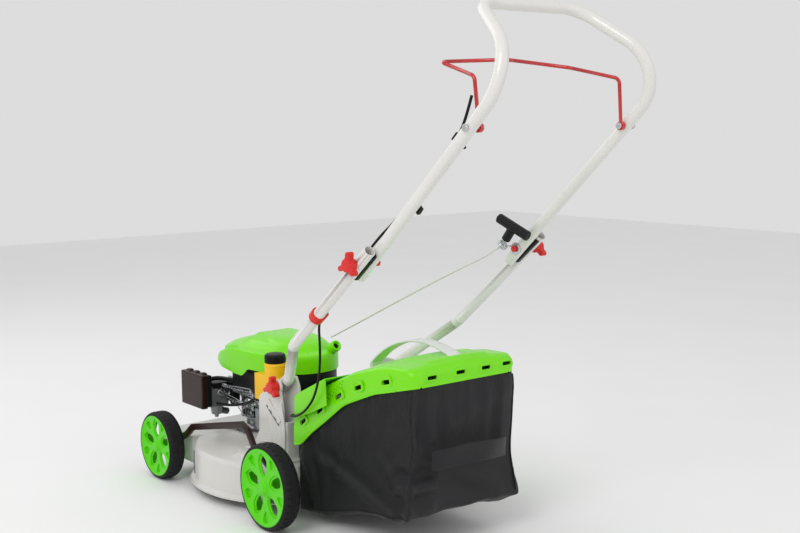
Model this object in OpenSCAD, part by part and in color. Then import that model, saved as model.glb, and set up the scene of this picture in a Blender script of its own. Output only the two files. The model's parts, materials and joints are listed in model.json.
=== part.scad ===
// Push lawn mower with a petrol engine, a folding handle and a rear grass bag.
// +X is forwards, +Y is the operator's left, +Z is up; millimetres.
// The origin is on the ground, under the middle of the whole machine.

/* [Wheels] */
// Radius of the front wheels over the tyre
front_wheel_r = 77; // [70:1:90]
// Radius of the rear wheels over the tyre
rear_wheel_r = 87.5; // [78:0.5:105]
// Distance between the front and rear axles
wheelbase = 458; // [450:1:480]
// Width between the outer faces of the tyres
track_w = 500; // [490:2:560]
// Width of each tyre
tyre_w = 38; // [34:1:42]
// Thickness of the tyre tread over the wheel's rim
tyre_t = 9; // [7:1:12]
// Radius of the axle stubs
axle_r = 6; // [5:0.5:8]
// Clearance all round a turning shaft
run_gap = 0.05; // [0.03:0.01:0.1]

/* [Deck] */
// Radius of the round deck over its wall
deck_r = 235; // [225:1:240]
// Height of the bottom edge of the deck above the ground
deck_lip_z = 20; // [18:1:30]
// Height of the flat top of the deck
deck_top_z = 112; // [110:1:125]
// Thickness of the deck's steel sheet
deck_t = 2.4; // [2:0.2:4]
// Width of the wings that carry the axles
wing_w = 368; // [350:2:372]
// Length of the blade from tip to tip
blade_len = 380; // [340:2:390]
// Height of the blade above the ground
blade_z = 45; // [42:1:50]

/* [Height adjustment] */
// Forward distance from a wheel's centre to the axle's pivot
crank_x = 34; // [30:1:36]
// Drop from a wheel's centre to the axle's pivot
crank_z = 25.5; // [22:0.5:28]

/* [Engine] */
// Forward distance from the rear axle to the crankshaft
crank_shaft_x = 240; // [236:1:244]
// Radius of the fan housing
fan_r = 88; // [84:1:94]
// Height of the engine's cowl
cowl_h = 66; // [60:1:80]
// Length of the cowl from front to back
cowl_len = 334; // [320:2:344]
// Radius of the crankshaft
crankshaft_r = 11; // [9:0.5:12.5]

/* [Handle] */
// Outside radius of the handle's tubes
tube_r = 11; // [10:0.5:12.5]
// Wall thickness of the handle's tubes
tube_t = 1.5; // [1.2:0.1:2]
// Distance from the mid-plane to the upper tube
upper_y = 186; // [180:1:190]
// Thickness of the spacers between the upper and lower tubes
spacer_t = 3; // [2:0.5:5]
// Forward distance from the rear axle to the folding joint (behind it, so negative)
fold_x = -282; // [-295:1:-270]
// Height of the folding joint
fold_z = 557; // [545:1:570]
// Radius of the bolts of the wing knobs
knob_bolt_r = 3; // [2.5:0.5:4]
// Radius of the rod of the stop bail
bail_r = 3.25; // [2.5:0.25:4]

/* [Grass bag] */
// Length of the bag from front to back
bag_len = 337; // [310:1:345]
// Width of the bag at its mouth
bag_front_w = 320; // [300:2:330]
// Width of the bag at its back
bag_rear_w = 262; // [230:2:280]
// Height of the bag's lower front edge
bag_low_z = 22; // [20:1:40]
// Thickness of the bag's plastic cover
cover_t = 3; // [2:0.5:4]

/* [Hidden] */
$fn = 48;
eps = 0.01;
// Gap between pieces that move past each other, and between a fabric or a loose piece and its seat
slip = 0.3;
green = "#7fe000";
yellow = "#ffc603";
red = "#d00f0d";
deck_grey = "#d8d6d2";
tube_grey = "#e4e2df";
black = "#1e1e20";
brown_black = "#2b1a18";
steel = "#b9bcc0";
cast = "#a3a6a8";
fabric = "#232226";
clear_white = "#e2e5e0";

outer_y = track_w/2;
inner_y = outer_y - tyre_w;
rear_axle_z = rear_wheel_r;
front_axle_z = front_wheel_r;
rear_pivot = [crank_x, rear_axle_z - crank_z];
front_pivot = [wheelbase + crank_x, front_axle_z - crank_z];
wing_y = wing_w/2;
web_y = wing_y + 1;
web_t = 9;
link_y = web_y + web_t + 1.5;
link_t = 8;

lower_y = upper_y + 2*tube_r + spacer_t + slip;
foot_x = 72;
foot_z = 268;
foot_y = 146;
elbow = [-68, lower_y, 381];
fold_run = [fold_x - elbow[0], fold_z - elbow[2]];
fold_dir = fold_run/norm(fold_run);
tube_lap = 42;
leg_dir = [-0.744, 0, 0.6682];
leg_len = 500;
shoulder = [fold_x, upper_y, fold_z] + leg_len*leg_dir;
top_corner = [-494, 118, 1002];
bail_at = [-552, 797];
bail_y = upper_y - tube_r - 2 - bail_r;

bag_x = 7;
mouth_x = 8;
chute_y = 118;
chute_top_z = 236;
flap_axis = [mouth_x + 16, chute_top_z + 9];
rope_boss = [158, -40, 312];
cord_r = 2.5;
rope_r = 1.6;
// A bend is this much thicker than its straight bars, and they run this far into it
bend_swell = 0.1;
bend_lap = 0.5;

// Points on a circle's arc, for turning a corner
function unit(v) = v/norm(v);
function corner_turn(p, i) = acos(unit(p[i] - p[i-1])*unit(p[i+1] - p[i]));
function corner_cut(p, rb, i) = (i < 1 || i > len(p) - 2) ? bend_lap : rb[i-1]*tan(corner_turn(p, i)/2);
function inward(u, v) = unit(v - (u*v)*u);
function mirror_y(p) = [for (q = p) [q[0], -q[1], q[2]]];
function reversed(p) = [for (i = [len(p)-1:-1:0]) p[i]];

// The rearmost point of the handle, where its shoulder bends
shoulder_bend = 78;
upper_half = [[fold_x, upper_y, fold_z] - tube_lap*leg_dir, shoulder, top_corner];
upper_path = concat(upper_half, mirror_y(reversed(upper_half)));
bend_u = unit(shoulder - upper_half[0]);
bend_v = unit(top_corner - shoulder);
bend_turn = acos(bend_u*bend_v);
bend_from = shoulder - shoulder_bend*tan(bend_turn/2)*bend_u;
bend_mid = bend_from + shoulder_bend*inward(bend_u, bend_v);
bend_xs = [for (a = [0:2:bend_turn])
    (bend_mid - shoulder_bend*cos(a)*inward(bend_u, bend_v) + shoulder_bend*sin(a)*bend_u)[0]];
rear_reach = -min(bend_xs) + tube_r;
front_reach = wheelbase + front_wheel_r;
x_shift = (rear_reach - front_reach)/2;

module place() translate([x_shift, 0, 0]) children();

// A piece on the left and its mirror image on the right
module both_sides() {
    children();
    mirror([0, 1, 0]) children();
}

// Turns the Z axis to point along d
module aim(d) rotate([0, acos(d[2]/norm(d)), atan2(d[1], d[0])]) children();

// A cylinder between two points
module bar(a, b, r) translate(a) aim(b - a) cylinder(r = r, h = norm(b - a));

// A cylinder along Y, from y0 to y1, at a place [x, z]
module cross_pin(at, y0, y1, r) translate([at[0], y0, at[1]]) rotate([-90, 0, 0]) cylinder(r = r, h = y1 - y0);

// The bend of a bar at p[i], with its middle line on a circle of radius rb
module bend_at(p, i, rb, r) {
    u = unit(p[i] - p[i-1]);
    v = unit(p[i+1] - p[i]);
    n = inward(u, v);
    turn = corner_turn(p, i);
    c = p[i] - rb*tan(turn/2)*u + rb*n;
    w = cross(-n, u);
    multmatrix([[-n[0], u[0], w[0], c[0]], [-n[1], u[1], w[1], c[1]], [-n[2], u[2], w[2], c[2]], [0, 0, 0, 1]])
        rotate_extrude(angle = turn) translate([rb, 0]) circle(r + bend_swell);
}

// A round bar through the points p, bent at each inner point to the radii rb
module bent_bar(p, rb, r) {
    for (i = [0:len(p)-2]) {
        d = unit(p[i+1] - p[i]);
        bar(p[i] + (corner_cut(p, rb, i) - bend_lap)*d, p[i+1] - (corner_cut(p, rb, i+1) - bend_lap)*d, r);
    }
    for (i = [1:len(p)-2]) bend_at(p, i, rb[i-1], r);
}

// The same path with both ends made longer by e
function longer(p, e) = [for (i = [0:len(p)-1])
    i == 0 ? p[0] - e*unit(p[1] - p[0]) : i == len(p)-1 ? p[i] + e*unit(p[i] - p[i-1]) : p[i]];

module bent_tube(p, rb, r, t) difference() {
    bent_bar(p, rb, r);
    bent_bar(longer(p, 1), rb, r - t);
}

// One ring of a cord at q, square to the direction d
function ring(q, d, r, k) = let (s = unit(cross(d, abs(d[1]) < 0.9 ? [0, 1, 0] : [1, 0, 0])), w = cross(d, s))
    [for (j = [0:k-1]) q + r*cos(360*j/k)*s + r*sin(360*j/k)*w];
function path_dir(p, i) = unit(p[min(i+1, len(p)-1)] - p[max(i-1, 0)]);

// A cord of k sides along the points p
module cord(p, r, k) {
    n = len(p);
    pts = [for (i = [0:n-1]) each ring(p[i], path_dir(p, i), r, k)];
    sides = [for (i = [0:n-2]) for (j = [0:k-1])
        [i*k + j, i*k + (j+1)%k, (i+1)*k + (j+1)%k, (i+1)*k + j]];
    polyhedron(pts, concat(sides, [[for (j = [k-1:-1:0]) j]], [[for (j = [0:k-1]) (n-1)*k + j]]));
}

// A flat outline in X and Z, made solid from y0 to y1
module side_plate(outline, y0, y1) translate([0, y1, 0]) rotate([90, 0, 0]) linear_extrude(y1 - y0) polygon(outline);

/* ---- Wheels ---- */

module tyre(r) rotate_extrude() polygon([[r - tyre_t, 0], [r - 5, 0], [r - 1.5, 2], [r, 6],
    [r, tyre_w/2 - 2], [r - 2, tyre_w/2 - 1], [r - 2, tyre_w/2 + 1], [r, tyre_w/2 + 2],
    [r, tyre_w - 6], [r - 1.5, tyre_w - 2], [r - 5, tyre_w], [r - tyre_t, tyre_w]]);

// Spoked wheel: barrel, hub and a face with five windows; its outer face is at z = tyre_w
module rim(r) difference() {
    union() {
        difference() {
            cylinder(r = r - tyre_t, h = tyre_w - 1);
            translate([0, 0, -1]) cylinder(r = r - tyre_t - 3, h = tyre_w - 6);
        }
        cylinder(r = 14, h = tyre_w + 1.5);
    }
    translate([0, 0, -1]) cylinder(r = axle_r + run_gap, h = tyre_w - 5);
    for (k = [0:4]) rotate(72*k + 18) translate([0, 0, tyre_w - 8])
        linear_extrude(9) polygon([[20, 0], [30, 7], [r - 26, 9], [r - 18, 0], [r - 26, -9], [30, -7]]);
}

// Puts a wheel's piece at its axle: s is 1 on the left and -1 on the right
module at_wheel(x, z, s) translate([x, s*inner_y, z]) rotate([s*-90, 0, 0]) children();

module front_left_tyre() color(black) place() at_wheel(wheelbase, front_axle_z, 1) tyre(front_wheel_r);
module front_right_tyre() color(black) place() at_wheel(wheelbase, front_axle_z, -1) tyre(front_wheel_r);
module rear_left_tyre() color(black) place() at_wheel(0, rear_axle_z, 1) tyre(rear_wheel_r);
module rear_right_tyre() color(black) place() at_wheel(0, rear_axle_z, -1) tyre(rear_wheel_r);
module front_left_rim() color(green) place() at_wheel(wheelbase, front_axle_z, 1) rim(front_wheel_r);
module front_right_rim() color(green) place() at_wheel(wheelbase, front_axle_z, -1) rim(front_wheel_r);
module rear_left_rim() color(green) place() at_wheel(0, rear_axle_z, 1) rim(rear_wheel_r);
module rear_right_rim() color(green) place() at_wheel(0, rear_axle_z, -1) rim(rear_wheel_r);

// A cross shaft with a flat crank web and a wheel stub at each end
module cranked_axle(pivot, wheel) {
    cross_pin(pivot, -web_y - web_t, web_y + web_t, axle_r);
    both_sides() {
        difference() {
            union() {
                cross_pin(pivot, web_y, web_y + web_t, axle_r + 5);
                cross_pin(wheel, web_y, web_y + web_t, axle_r + 5);
                run = wheel - pivot;
                translate([pivot[0], web_y, pivot[1]]) rotate([0, -atan2(run[1], run[0]), 0])
                    translate([0, 0, -axle_r]) cube([norm(run), web_t, 2*axle_r]);
            }
        }
        cross_pin(wheel, web_y, outer_y - 7, axle_r);
    }
}

module rear_axle() color(steel) place() cranked_axle(rear_pivot, [0, rear_axle_z]);
module front_axle() color(steel) place() cranked_axle(front_pivot, [wheelbase, front_axle_z]);

// Lever of the height adjustment, on the right end of the rear shaft, with its knob
lever_y = web_y + web_t;
module height_lever() color(black) place() {
    difference() {
        union() {
            cross_pin(rear_pivot, -lever_y - 5, -lever_y, axle_r + 6);
            side_plate([[rear_pivot[0] + 2, rear_pivot[1] + axle_r], [rear_pivot[0] + 12, rear_pivot[1]],
                [118, 196], [106, 202]], -lever_y - 5, -lever_y);
        }
        cross_pin(rear_pivot, -lever_y - 7, -lever_y + 1, axle_r);
    }
    translate([113, -lever_y - 2.5, 206]) sphere(r = 12);
}

// Arched bar that keeps the front axle in step with the rear one
link_pts = [[0, rear_axle_z], [108, 140], [130, 170], [154, 178], [368, 131], [398, 108], [wheelbase, front_axle_z]];
// The side of a bent strip: w is half its width
function square_to(u) = [-u[1], u[0]];
function strip_edge(p, w) = [for (i = [0:len(p)-1]) let (
    u = square_to(unit(p[max(i, 1)] - p[max(i, 1) - 1])),
    v = square_to(unit(p[min(i, len(p)-2) + 1] - p[min(i, len(p)-2)]))) p[i] + w*(u + v)/(1 + u*v)];
module link_bar() color(brown_black) place() difference() {
    union() {
        side_plate(concat(strip_edge(link_pts, 7), reversed(strip_edge(link_pts, -7))), link_y, link_y + link_t);
        for (i = [0, len(link_pts)-1]) cross_pin(link_pts[i], link_y, link_y + link_t, axle_r + 6);
    }
    cross_pin(link_pts[0], link_y - 1, link_y + link_t + 1, axle_r + run_gap);
    cross_pin(link_pts[len(link_pts)-1], link_y - 1, link_y + link_t + 1, axle_r + slip);
}

/* ---- Deck ---- */

rear_wing_x = [10, 204];
bracket_bolts = [66, 110];
front_wing_x = [398, front_pivot[0] + 16];

// The pressed steel deck, as a round pan; g is how far its surface is drawn in
module pan(g) translate([crank_shaft_x, 0, 0]) rotate_extrude() polygon([[0, deck_lip_z - (g > 0 ? 5 : 0)],
    [deck_r - g, deck_lip_z - (g > 0 ? 5 : 0)], [deck_r - g, deck_top_z - 22 - g/2], [deck_r - 6 - g, deck_top_z - 13 - g],
    [150, deck_top_z - g], [0, deck_top_z - g]]);

module wings(g) {
    low = g > 0 ? 20 : 34;
    translate([front_wing_x[0] + g, -wing_y + g, low + 4])
        cube([front_wing_x[1] - front_wing_x[0] - 2*g, wing_w - 2*g, deck_top_z - 16 - low - g]);
    translate([rear_wing_x[0] + g, -wing_y + g, low])
        cube([rear_wing_x[1] - rear_wing_x[0] - 2*g, wing_w - 2*g, deck_top_z - low - g]);
}

module deck() color(deck_grey) place() difference() {
    union() {
        pan(0);
        wings(0);
        translate([crank_shaft_x, 0, deck_lip_z]) cylinder(r = deck_r + 8, h = 3);
        translate([crank_shaft_x, 0, deck_lip_z + 3]) cylinder(r1 = deck_r + 8, r2 = deck_r, h = 7);
        for (p = [rear_pivot, front_pivot]) both_sides() cross_pin(p, wing_y - 14, wing_y, axle_r + 5);
    }
    difference() {
        union() {
            pan(deck_t);
            wings(deck_t);
        }
        for (p = [rear_pivot, front_pivot]) both_sides() cross_pin(p, wing_y - 14, wing_y, axle_r + 5);
    }
    // Way out for the grass, at the back
    translate([mouth_x + 20, -chute_y + 4, 74]) cube([34, 2*chute_y - 8, deck_top_z]);
    // Hole for the crankshaft and its boss
    translate([crank_shaft_x, 0, 60]) cylinder(r = 38, h = 90);
    for (p = [rear_pivot, front_pivot]) cross_pin(p, -wing_y - 1, wing_y + 1, axle_r + run_gap);
    for (a = [45:90:315]) translate([crank_shaft_x, 0, 0]) rotate(a) translate([62, 0, 90]) cylinder(r = 4.2, h = 40);
    both_sides() for (x = bracket_bolts) translate([x, foot_y, 90]) cylinder(r = 3.2, h = 40);
}

// Plastic tunnel from the deck to the bag
module rear_chute() color(black) place() difference() {
    union() {
        translate([mouth_x, -chute_y, deck_top_z]) cube([58, 2*chute_y, chute_top_z - deck_top_z]);
        // Rim that the bag's mouth sits on
        translate([mouth_x, -chute_y - 8, deck_top_z]) cube([5, 2*chute_y + 16, chute_top_z - deck_top_z]);
        both_sides() cross_pin(flap_axis, chute_y - 16, chute_y - 8, 7);
        both_sides() translate([flap_axis[0] - 7, chute_y - 16, chute_top_z - 3]) cube([14, 8, 12]);
    }
    difference() {
        translate([mouth_x - 1, -chute_y + 4, deck_top_z - 1]) cube([55, 2*chute_y - 8, chute_top_z - deck_top_z - 3]);
        // Ramp that lifts the grass towards the bag
        side_plate([[mouth_x, deck_top_z], [mouth_x, deck_top_z + 12], [mouth_x + 20, deck_top_z]], -chute_y, chute_y);
    }
    cross_pin(flap_axis, -chute_y, chute_y, 3 + run_gap);
}

// Bracket that carries the foot of a lower tube between its inner and outer plates
plate_in = foot_y - tube_r - slip;
plate_out = foot_y + tube_r + slip;
plate_t = 6;
module bracket_shape() difference() {
    union() {
        side_plate([[44, deck_top_z], [196, deck_top_z], [164, 136], [146, 162], [144, 236], [120, 264], [84, 290],
            [46, 290], [36, 272], [32, 248], [44, 222], [44, 186]], plate_in - plate_t, plate_in);
        side_plate([[44, deck_top_z], [196, deck_top_z], [164, 136], [146, 162], [144, 236], [foot_x + 12, foot_z + 8],
            [foot_x - 12, foot_z - 8], [52, 222], [50, 186]], plate_out, plate_out + plate_t);
        cross_pin([foot_x, foot_z], plate_out, plate_out + plate_t, 15);
        translate([44, plate_in - 1, deck_top_z]) cube([8, plate_out - plate_in + 2, 84]);
        translate([136, plate_in - 1, deck_top_z]) cube([8, plate_out - plate_in + 2, 118]);
        translate([36, plate_in - plate_t, deck_top_z]) cube([164, plate_out - plate_in + 2*plate_t + 3, 5]);
        // Ribs on the outer plate
        for (k = [0:2]) side_plate([[60 + 14*k, 124 - 4*k], [64 + 14*k, 124 - 4*k], [78 + 14*k, 220], [74 + 14*k, 220]],
            plate_out + plate_t - 1, plate_out + plate_t + 2);
    }
    cross_pin([foot_x, foot_z], plate_in - plate_t - 1, plate_out + plate_t + 1, knob_bolt_r + run_gap);
    for (x = bracket_bolts) translate([x, foot_y, 90]) cylinder(r = 3.2, h = 50);
}
module left_bracket() color(deck_grey) place() bracket_shape();
module right_bracket() color(deck_grey) place() mirror([0, 1, 0]) bracket_shape();

// Black cover beside each bracket, in front of the bag
module side_trim() color(black) place() both_sides()
    side_plate([[mouth_x + 6, 150], [36, 150], [40, 190], [36, 222], [mouth_x + 6, 228]], chute_y, chute_y + 12);

module hex_head(r, h) cylinder(r = r, h = h, $fn = 6);

module deck_bolts() color(steel) place() {
    both_sides() for (x = bracket_bolts) translate([x, foot_y, 0]) {
        translate([0, 0, deck_top_z - 20]) cylinder(r = 3.2 - slip/2, h = 26);
        translate([0, 0, deck_top_z + 5]) hex_head(6, 5);
    }
    for (a = [45:90:315]) translate([crank_shaft_x, 0, 0]) rotate(a) translate([62, 0, 0]) {
        translate([0, 0, deck_top_z - deck_t - 6]) hex_head(7.5, 6 - slip/2);
        translate([0, 0, deck_top_z - deck_t - 1]) cylinder(r = 4, h = 13);
    }
}

/* ---- Engine ---- */

base_z = deck_top_z;
block_z = base_z + 8;
fan_z = 204;
cowl_z = 268;
head_x = crank_shaft_x + 96;

module engine_block() color(cast) place() difference() {
    union() {
        translate([crank_shaft_x, 0, base_z]) cylinder(r = 82, h = 8);
        translate([crank_shaft_x, 0, block_z]) cylinder(r = 66, h = fan_z - block_z);
        translate([crank_shaft_x + 30, -40, 142]) cube([66, 80, 62]);
        for (k = [0:5]) translate([crank_shaft_x + 58 + 7*k, -52, 136]) cube([2.5, 104, 68]);
        translate([crank_shaft_x - 10, 52, block_z + 12]) cube([36, 46, 44]);
    }
    translate([crank_shaft_x, 0, base_z - 1]) cylinder(r = crankshaft_r + run_gap, h = fan_z);
    for (a = [45:90:315]) translate([crank_shaft_x, 0, base_z - 1]) rotate(a) translate([62, 0, 0]) cylinder(r = 4, h = 11);
    translate([crank_shaft_x + 8, 84, block_z + 34]) cylinder(r = 8 + run_gap, h = 30);
}

module cylinder_head() color(steel) place() {
    translate([head_x, -42, 138]) cube([14, 84, 66]);
    for (k = [0:4]) translate([head_x + 14, -36 + 16*k, 144]) cube([16, 6, 54]);
    translate([head_x + 14, -14, 158]) cube([20, 28, 26]);
}

module spark_plug() color(black) place() {
    translate([head_x + 34, 0, 171]) rotate([0, 90, 0]) cylinder(r = 8, h = 22);
    translate([head_x + 56, 0, 171]) sphere(r = 10);
}

// Black housing round the fan, under the cowl
module fan_housing() color(black) place() difference() {
    union() {
        translate([crank_shaft_x, 0, fan_z]) cylinder(r = fan_r, h = cowl_z - fan_z - slip);
        translate([crank_shaft_x, -fan_r, fan_z]) cube([140, 2*fan_r, cowl_z - fan_z - slip]);
    }
    translate([crank_shaft_x, 0, fan_z + 4]) cylinder(r = fan_r - 4, h = cowl_z);
    translate([crank_shaft_x + 40, -fan_r + 4, fan_z + 4]) cube([96, 2*fan_r - 8, cowl_z]);
    translate([crank_shaft_x, 0, fan_z - 1]) cylinder(r = 40, h = 6);
}

// Cowl outline drawn in by g: round at the back over the fan, with a wide nose in front
cowl_w = 208;
cowl_corner = 46;
module cowl_outline(g) {
    half = cowl_w/2;
    back = crank_shaft_x - fan_r - 6;
    front = back + cowl_len;
    translate([back + half, 0]) circle(half - g);
    translate([back + half, -half + g]) square([cowl_len - half - cowl_corner, cowl_w - 2*g]);
    translate([front - cowl_corner - 1, -half + cowl_corner]) square([cowl_corner + 1 - g, cowl_w - 2*cowl_corner]);
    both_sides() translate([front - cowl_corner, half - cowl_corner]) circle(cowl_corner - g);
}

cowl_steps = [30, 44, 54];
nose_drop = 19;
module cowl() color(green) place() difference() {
    union() {
        translate([0, 0, cowl_z]) linear_extrude(cowl_steps[0]) cowl_outline(0);
        // Skirt that hangs lower round the nose
        intersection() {
            translate([0, 0, cowl_z - nose_drop]) linear_extrude(nose_drop + 1) cowl_outline(0);
            translate([crank_shaft_x + 60, -150, cowl_z - 40]) cube([200, 300, 60]);
        }
        translate([0, 0, cowl_z + cowl_steps[0]]) linear_extrude(cowl_steps[1] - cowl_steps[0]) cowl_outline(10);
        translate([0, 0, cowl_z + cowl_steps[1]]) linear_extrude(cowl_steps[2] - cowl_steps[1]) cowl_outline(24);
        translate([crank_shaft_x + 10, 0, cowl_z + cowl_steps[2]]) cylinder(r1 = 78, r2 = 64, h = cowl_h - cowl_steps[2]);
        // Boss that the starter rope comes out of
        translate(rope_boss) rotate([0, -60, 0]) translate([0, 0, -12]) cylinder(r = 11, h = 36);
    }
    translate([0, 0, cowl_z - nose_drop - 1]) linear_extrude(cowl_steps[0] + nose_drop - 2) cowl_outline(3);
    translate([0, 0, cowl_z + cowl_steps[0] - 4]) linear_extrude(cowl_steps[1] - cowl_steps[0] + 1) cowl_outline(13);
    translate([crank_shaft_x, 0, cowl_z + cowl_steps[0]]) cylinder(r = 61, h = cowl_h - cowl_steps[0] - 3);
    translate(rope_boss) rotate([0, -60, 0]) translate([0, 0, -24]) cylinder(r = 4.5, h = 70);
}

// Reel of the recoil starter, held under the cowl
module starter_pulley() color(black) place() difference() {
    union() {
        translate([crank_shaft_x, 0, cowl_z + 36]) cylinder(r = 58, h = 3);
        translate([crank_shaft_x, 0, cowl_z + 39]) cylinder(r = 48, h = 8);
        translate([crank_shaft_x, 0, cowl_z + 47]) cylinder(r = 58, h = 3);
        translate([crank_shaft_x, 0, cowl_z + 50]) cylinder(r = 9, h = cowl_h - 53 - slip);
    }
    translate([crank_shaft_x, 0, cowl_z + 35]) cylinder(r = 20, h = 8);
}

muffler_at = [head_x + 52, -100, 182];
module muffler() color(steel) place() {
    translate(muffler_at + [4, 3 + slip, 4]) cube([86, 76 - 2*slip, 54]);
    translate([head_x + 30, -34, muffler_at[2] + 12]) rotate([0, 90, 0]) cylinder(r = 9, h = muffler_at[0] + 5 - head_x - 30);
}

module muffler_guard() color(steel) place() difference() {
    translate(muffler_at) cube([96, 82, 64]);
    translate(muffler_at + [-1, 3, -1]) cube([93, 76, 61]);
    for (k = [0:5]) translate(muffler_at + [10 + 13*k, -1, 12]) cube([6, 84, 34]);
    for (k = [0:5]) translate(muffler_at + [10 + 13*k, 12, 50]) cube([6, 58, 20]);
}

carb_at = [head_x + 124, 86];
module carburettor() color("#8f8f80") place() {
    translate([carb_at[0], 40, 184]) rotate([-90, 0, 0]) cylinder(r = 13, h = filter_y - base_deep - 40);
    translate([carb_at[0] - 17, carb_at[1] - 24, 146]) cube([34, 48, 50]);
    translate([carb_at[0], carb_at[1], 126]) cylinder(r1 = 12, r2 = 15, h = 20);
    translate([carb_at[0], carb_at[1], 118]) cylinder(r = 5, h = 8);
}
// Elbow between the carburettor and the cylinder head
module inlet_pipe() color(black) place() {
    translate([head_x + 30, 24, 176]) cube([carb_at[0] - head_x - 15, 16, 20]);
}
// Control plate with the throttle and governor rods
module control_plate() color(steel) place() {
    translate([crank_shaft_x + 38, 54, 190]) cube([116, 26, 3]);
    translate([crank_shaft_x + 90, 54, 128]) cube([64, 3, 63]);
    translate([crank_shaft_x + 38, 64, 146]) cube([3, 16, 45]);
    translate([crank_shaft_x + 48, 74, 193]) cylinder(r = 7, h = 9);
    translate([crank_shaft_x + 84, 70, 193]) cylinder(r = 5, h = 9);
    bar([crank_shaft_x + 50, 74, 198], [carb_at[0] - 19, 74, 192], 1.6);
    bar([crank_shaft_x + 39, 76, 160], [carb_at[0] - 19, 80, 174], 1.4);
}

filter_x = 415;
filter_y = 134;
filter_len = 96;
base_deep = 12;
cover_deep = 15;
module air_filter_base() color(black) place() difference() {
    translate([filter_x, filter_y - base_deep, 156]) cube([filter_len, base_deep, 74]);
    translate([filter_x + 3, filter_y - base_deep + 3, 159]) cube([filter_len - 6, base_deep, 68]);
}
module air_filter_cover() color(brown_black) place() {
    translate([filter_x - 2, filter_y, 153]) cube([filter_len + 4, cover_deep, 79]);
    translate([filter_x + 3 + slip, filter_y - 5, 159 + slip]) cube([filter_len - 6 - 2*slip, 5, 68 - 2*slip]);
    for (k = [0:2]) translate([filter_x + 9 + 31*k, filter_y - 6, 230]) cube([16, 13, 6]);
}

tank_x = 170;
tank_y = 104;
module fuel_tank() color(yellow) place() difference() {
    union() {
        translate([tank_x - 24, fan_r - 8, 206]) cube([94, 34, 58]);
        translate([tank_x, tank_y, 224]) cylinder(r = 23, h = 72);
        translate([tank_x, tank_y, 290]) cylinder(r = 18, h = 17);
    }
    translate([tank_x - 21, fan_r - 5, 209]) cube([88, 28, 52]);
    translate([tank_x, tank_y, 227]) cylinder(r = 15, h = 90);
    translate([crank_shaft_x, 0, 190]) cylinder(r = fan_r + slip, h = 120);
    translate([0, 0, cowl_z - slip]) linear_extrude(60) cowl_outline(-slip);
}
module fuel_cap() color(black) place() difference() {
    translate([tank_x, tank_y, 296 + slip]) cylinder(r = 23, h = 20);
    translate([tank_x, tank_y, 290]) cylinder(r = 18 + run_gap, h = 20);
}

module oil_dipstick() color(black) place() {
    translate([crank_shaft_x + 8, 84, block_z + 34 + slip]) cylinder(r = 8, h = 34);
    translate([crank_shaft_x + 8, 84, block_z + 56 + slip]) cylinder(r = 13, h = 12);
}

module crankshaft() color(steel) place() {
    translate([crank_shaft_x, 0, blade_z + 6]) cylinder(r = crankshaft_r, h = fan_z + 50 - blade_z);
    translate([crank_shaft_x, 0, blade_z + 4]) cylinder(r = 26, h = 30);
}
module flywheel() color(cast) place() difference() {
    union() {
        translate([crank_shaft_x, 0, fan_z + 12]) cylinder(r = 76, h = 14);
        translate([crank_shaft_x, 0, fan_z + 8]) cylinder(r = 34, h = 30);
        for (k = [0:11]) translate([crank_shaft_x, 0, fan_z + 26]) rotate(30*k) translate([42, -1.5, -eps]) cube([32, 3, 20]);
    }
    translate([crank_shaft_x, 0, fan_z]) cylinder(r = crankshaft_r, h = 60);
}
module blade() color("#6a6d70") place() translate([crank_shaft_x, 0, blade_z]) difference() {
    union() {
        translate([-28, -blade_len/2 + 10, 0]) cube([56, blade_len - 20, 4]);
        for (a = [0, 180]) rotate(a) translate([0, blade_len/2 - 70, 4 - eps])
            rotate([90, 0, 0]) translate([0, 0, -55]) linear_extrude(55) polygon([[-28, -4], [-10, -4], [-10, 0], [-22, 12], [-28, 14]]);
        intersection() {
            translate([-28, -blade_len/2, 0]) cube([56, blade_len, 4]);
            cylinder(r = blade_len/2, h = 4);
        }
    }
    translate([0, 0, -1]) cylinder(r = 5, h = 8);
}
module blade_bolt() color(steel) place() translate([crank_shaft_x, 0, 0]) {
    translate([0, 0, blade_z - 10]) hex_head(11, 7);
    translate([0, 0, blade_z - 3]) cylinder(r = 18, h = 3);
    translate([0, 0, blade_z - 1]) cylinder(r = 5, h = 5);
}

/* ---- Handle ---- */

fold_end = [fold_x, lower_y, fold_z] + tube_lap*[fold_dir[0], 0, fold_dir[1]];
foot_dir = [fold_dir[0], 0, fold_dir[1]];
foot = [foot_x, foot_y, foot_z];
lower_path = [foot - 20*foot_dir, foot + 26*foot_dir, elbow, fold_end];
lower_bends = [45, 55];

module lower_tube() difference() {
    bent_tube(lower_path, lower_bends, tube_r, tube_t);
    cross_pin([foot_x, foot_z], foot_y - 20, foot_y + 20, knob_bolt_r + run_gap);
    cross_pin([fold_x, fold_z], lower_y - 20, lower_y + 20, knob_bolt_r + run_gap);
}
module lower_tubes() color(tube_grey) place() both_sides() lower_tube();

// Spacers between the tubes: hollowed to the lower tube and flat to the upper one
module tube_spacers() color(black) place() both_sides() difference() {
    translate([fold_x, 0, fold_z]) rotate([0, atan2(-fold_dir[1], fold_dir[0]), 0])
        translate([-36, upper_y + tube_r + slip, -tube_r]) cube([72, spacer_t + 5, 2*tube_r]);
    bar([fold_x, lower_y, fold_z] - 60*foot_dir, [fold_x, lower_y, fold_z] + 60*foot_dir, tube_r + run_gap);
    cross_pin([fold_x, fold_z], upper_y, lower_y, knob_bolt_r + run_gap);
}

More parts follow.
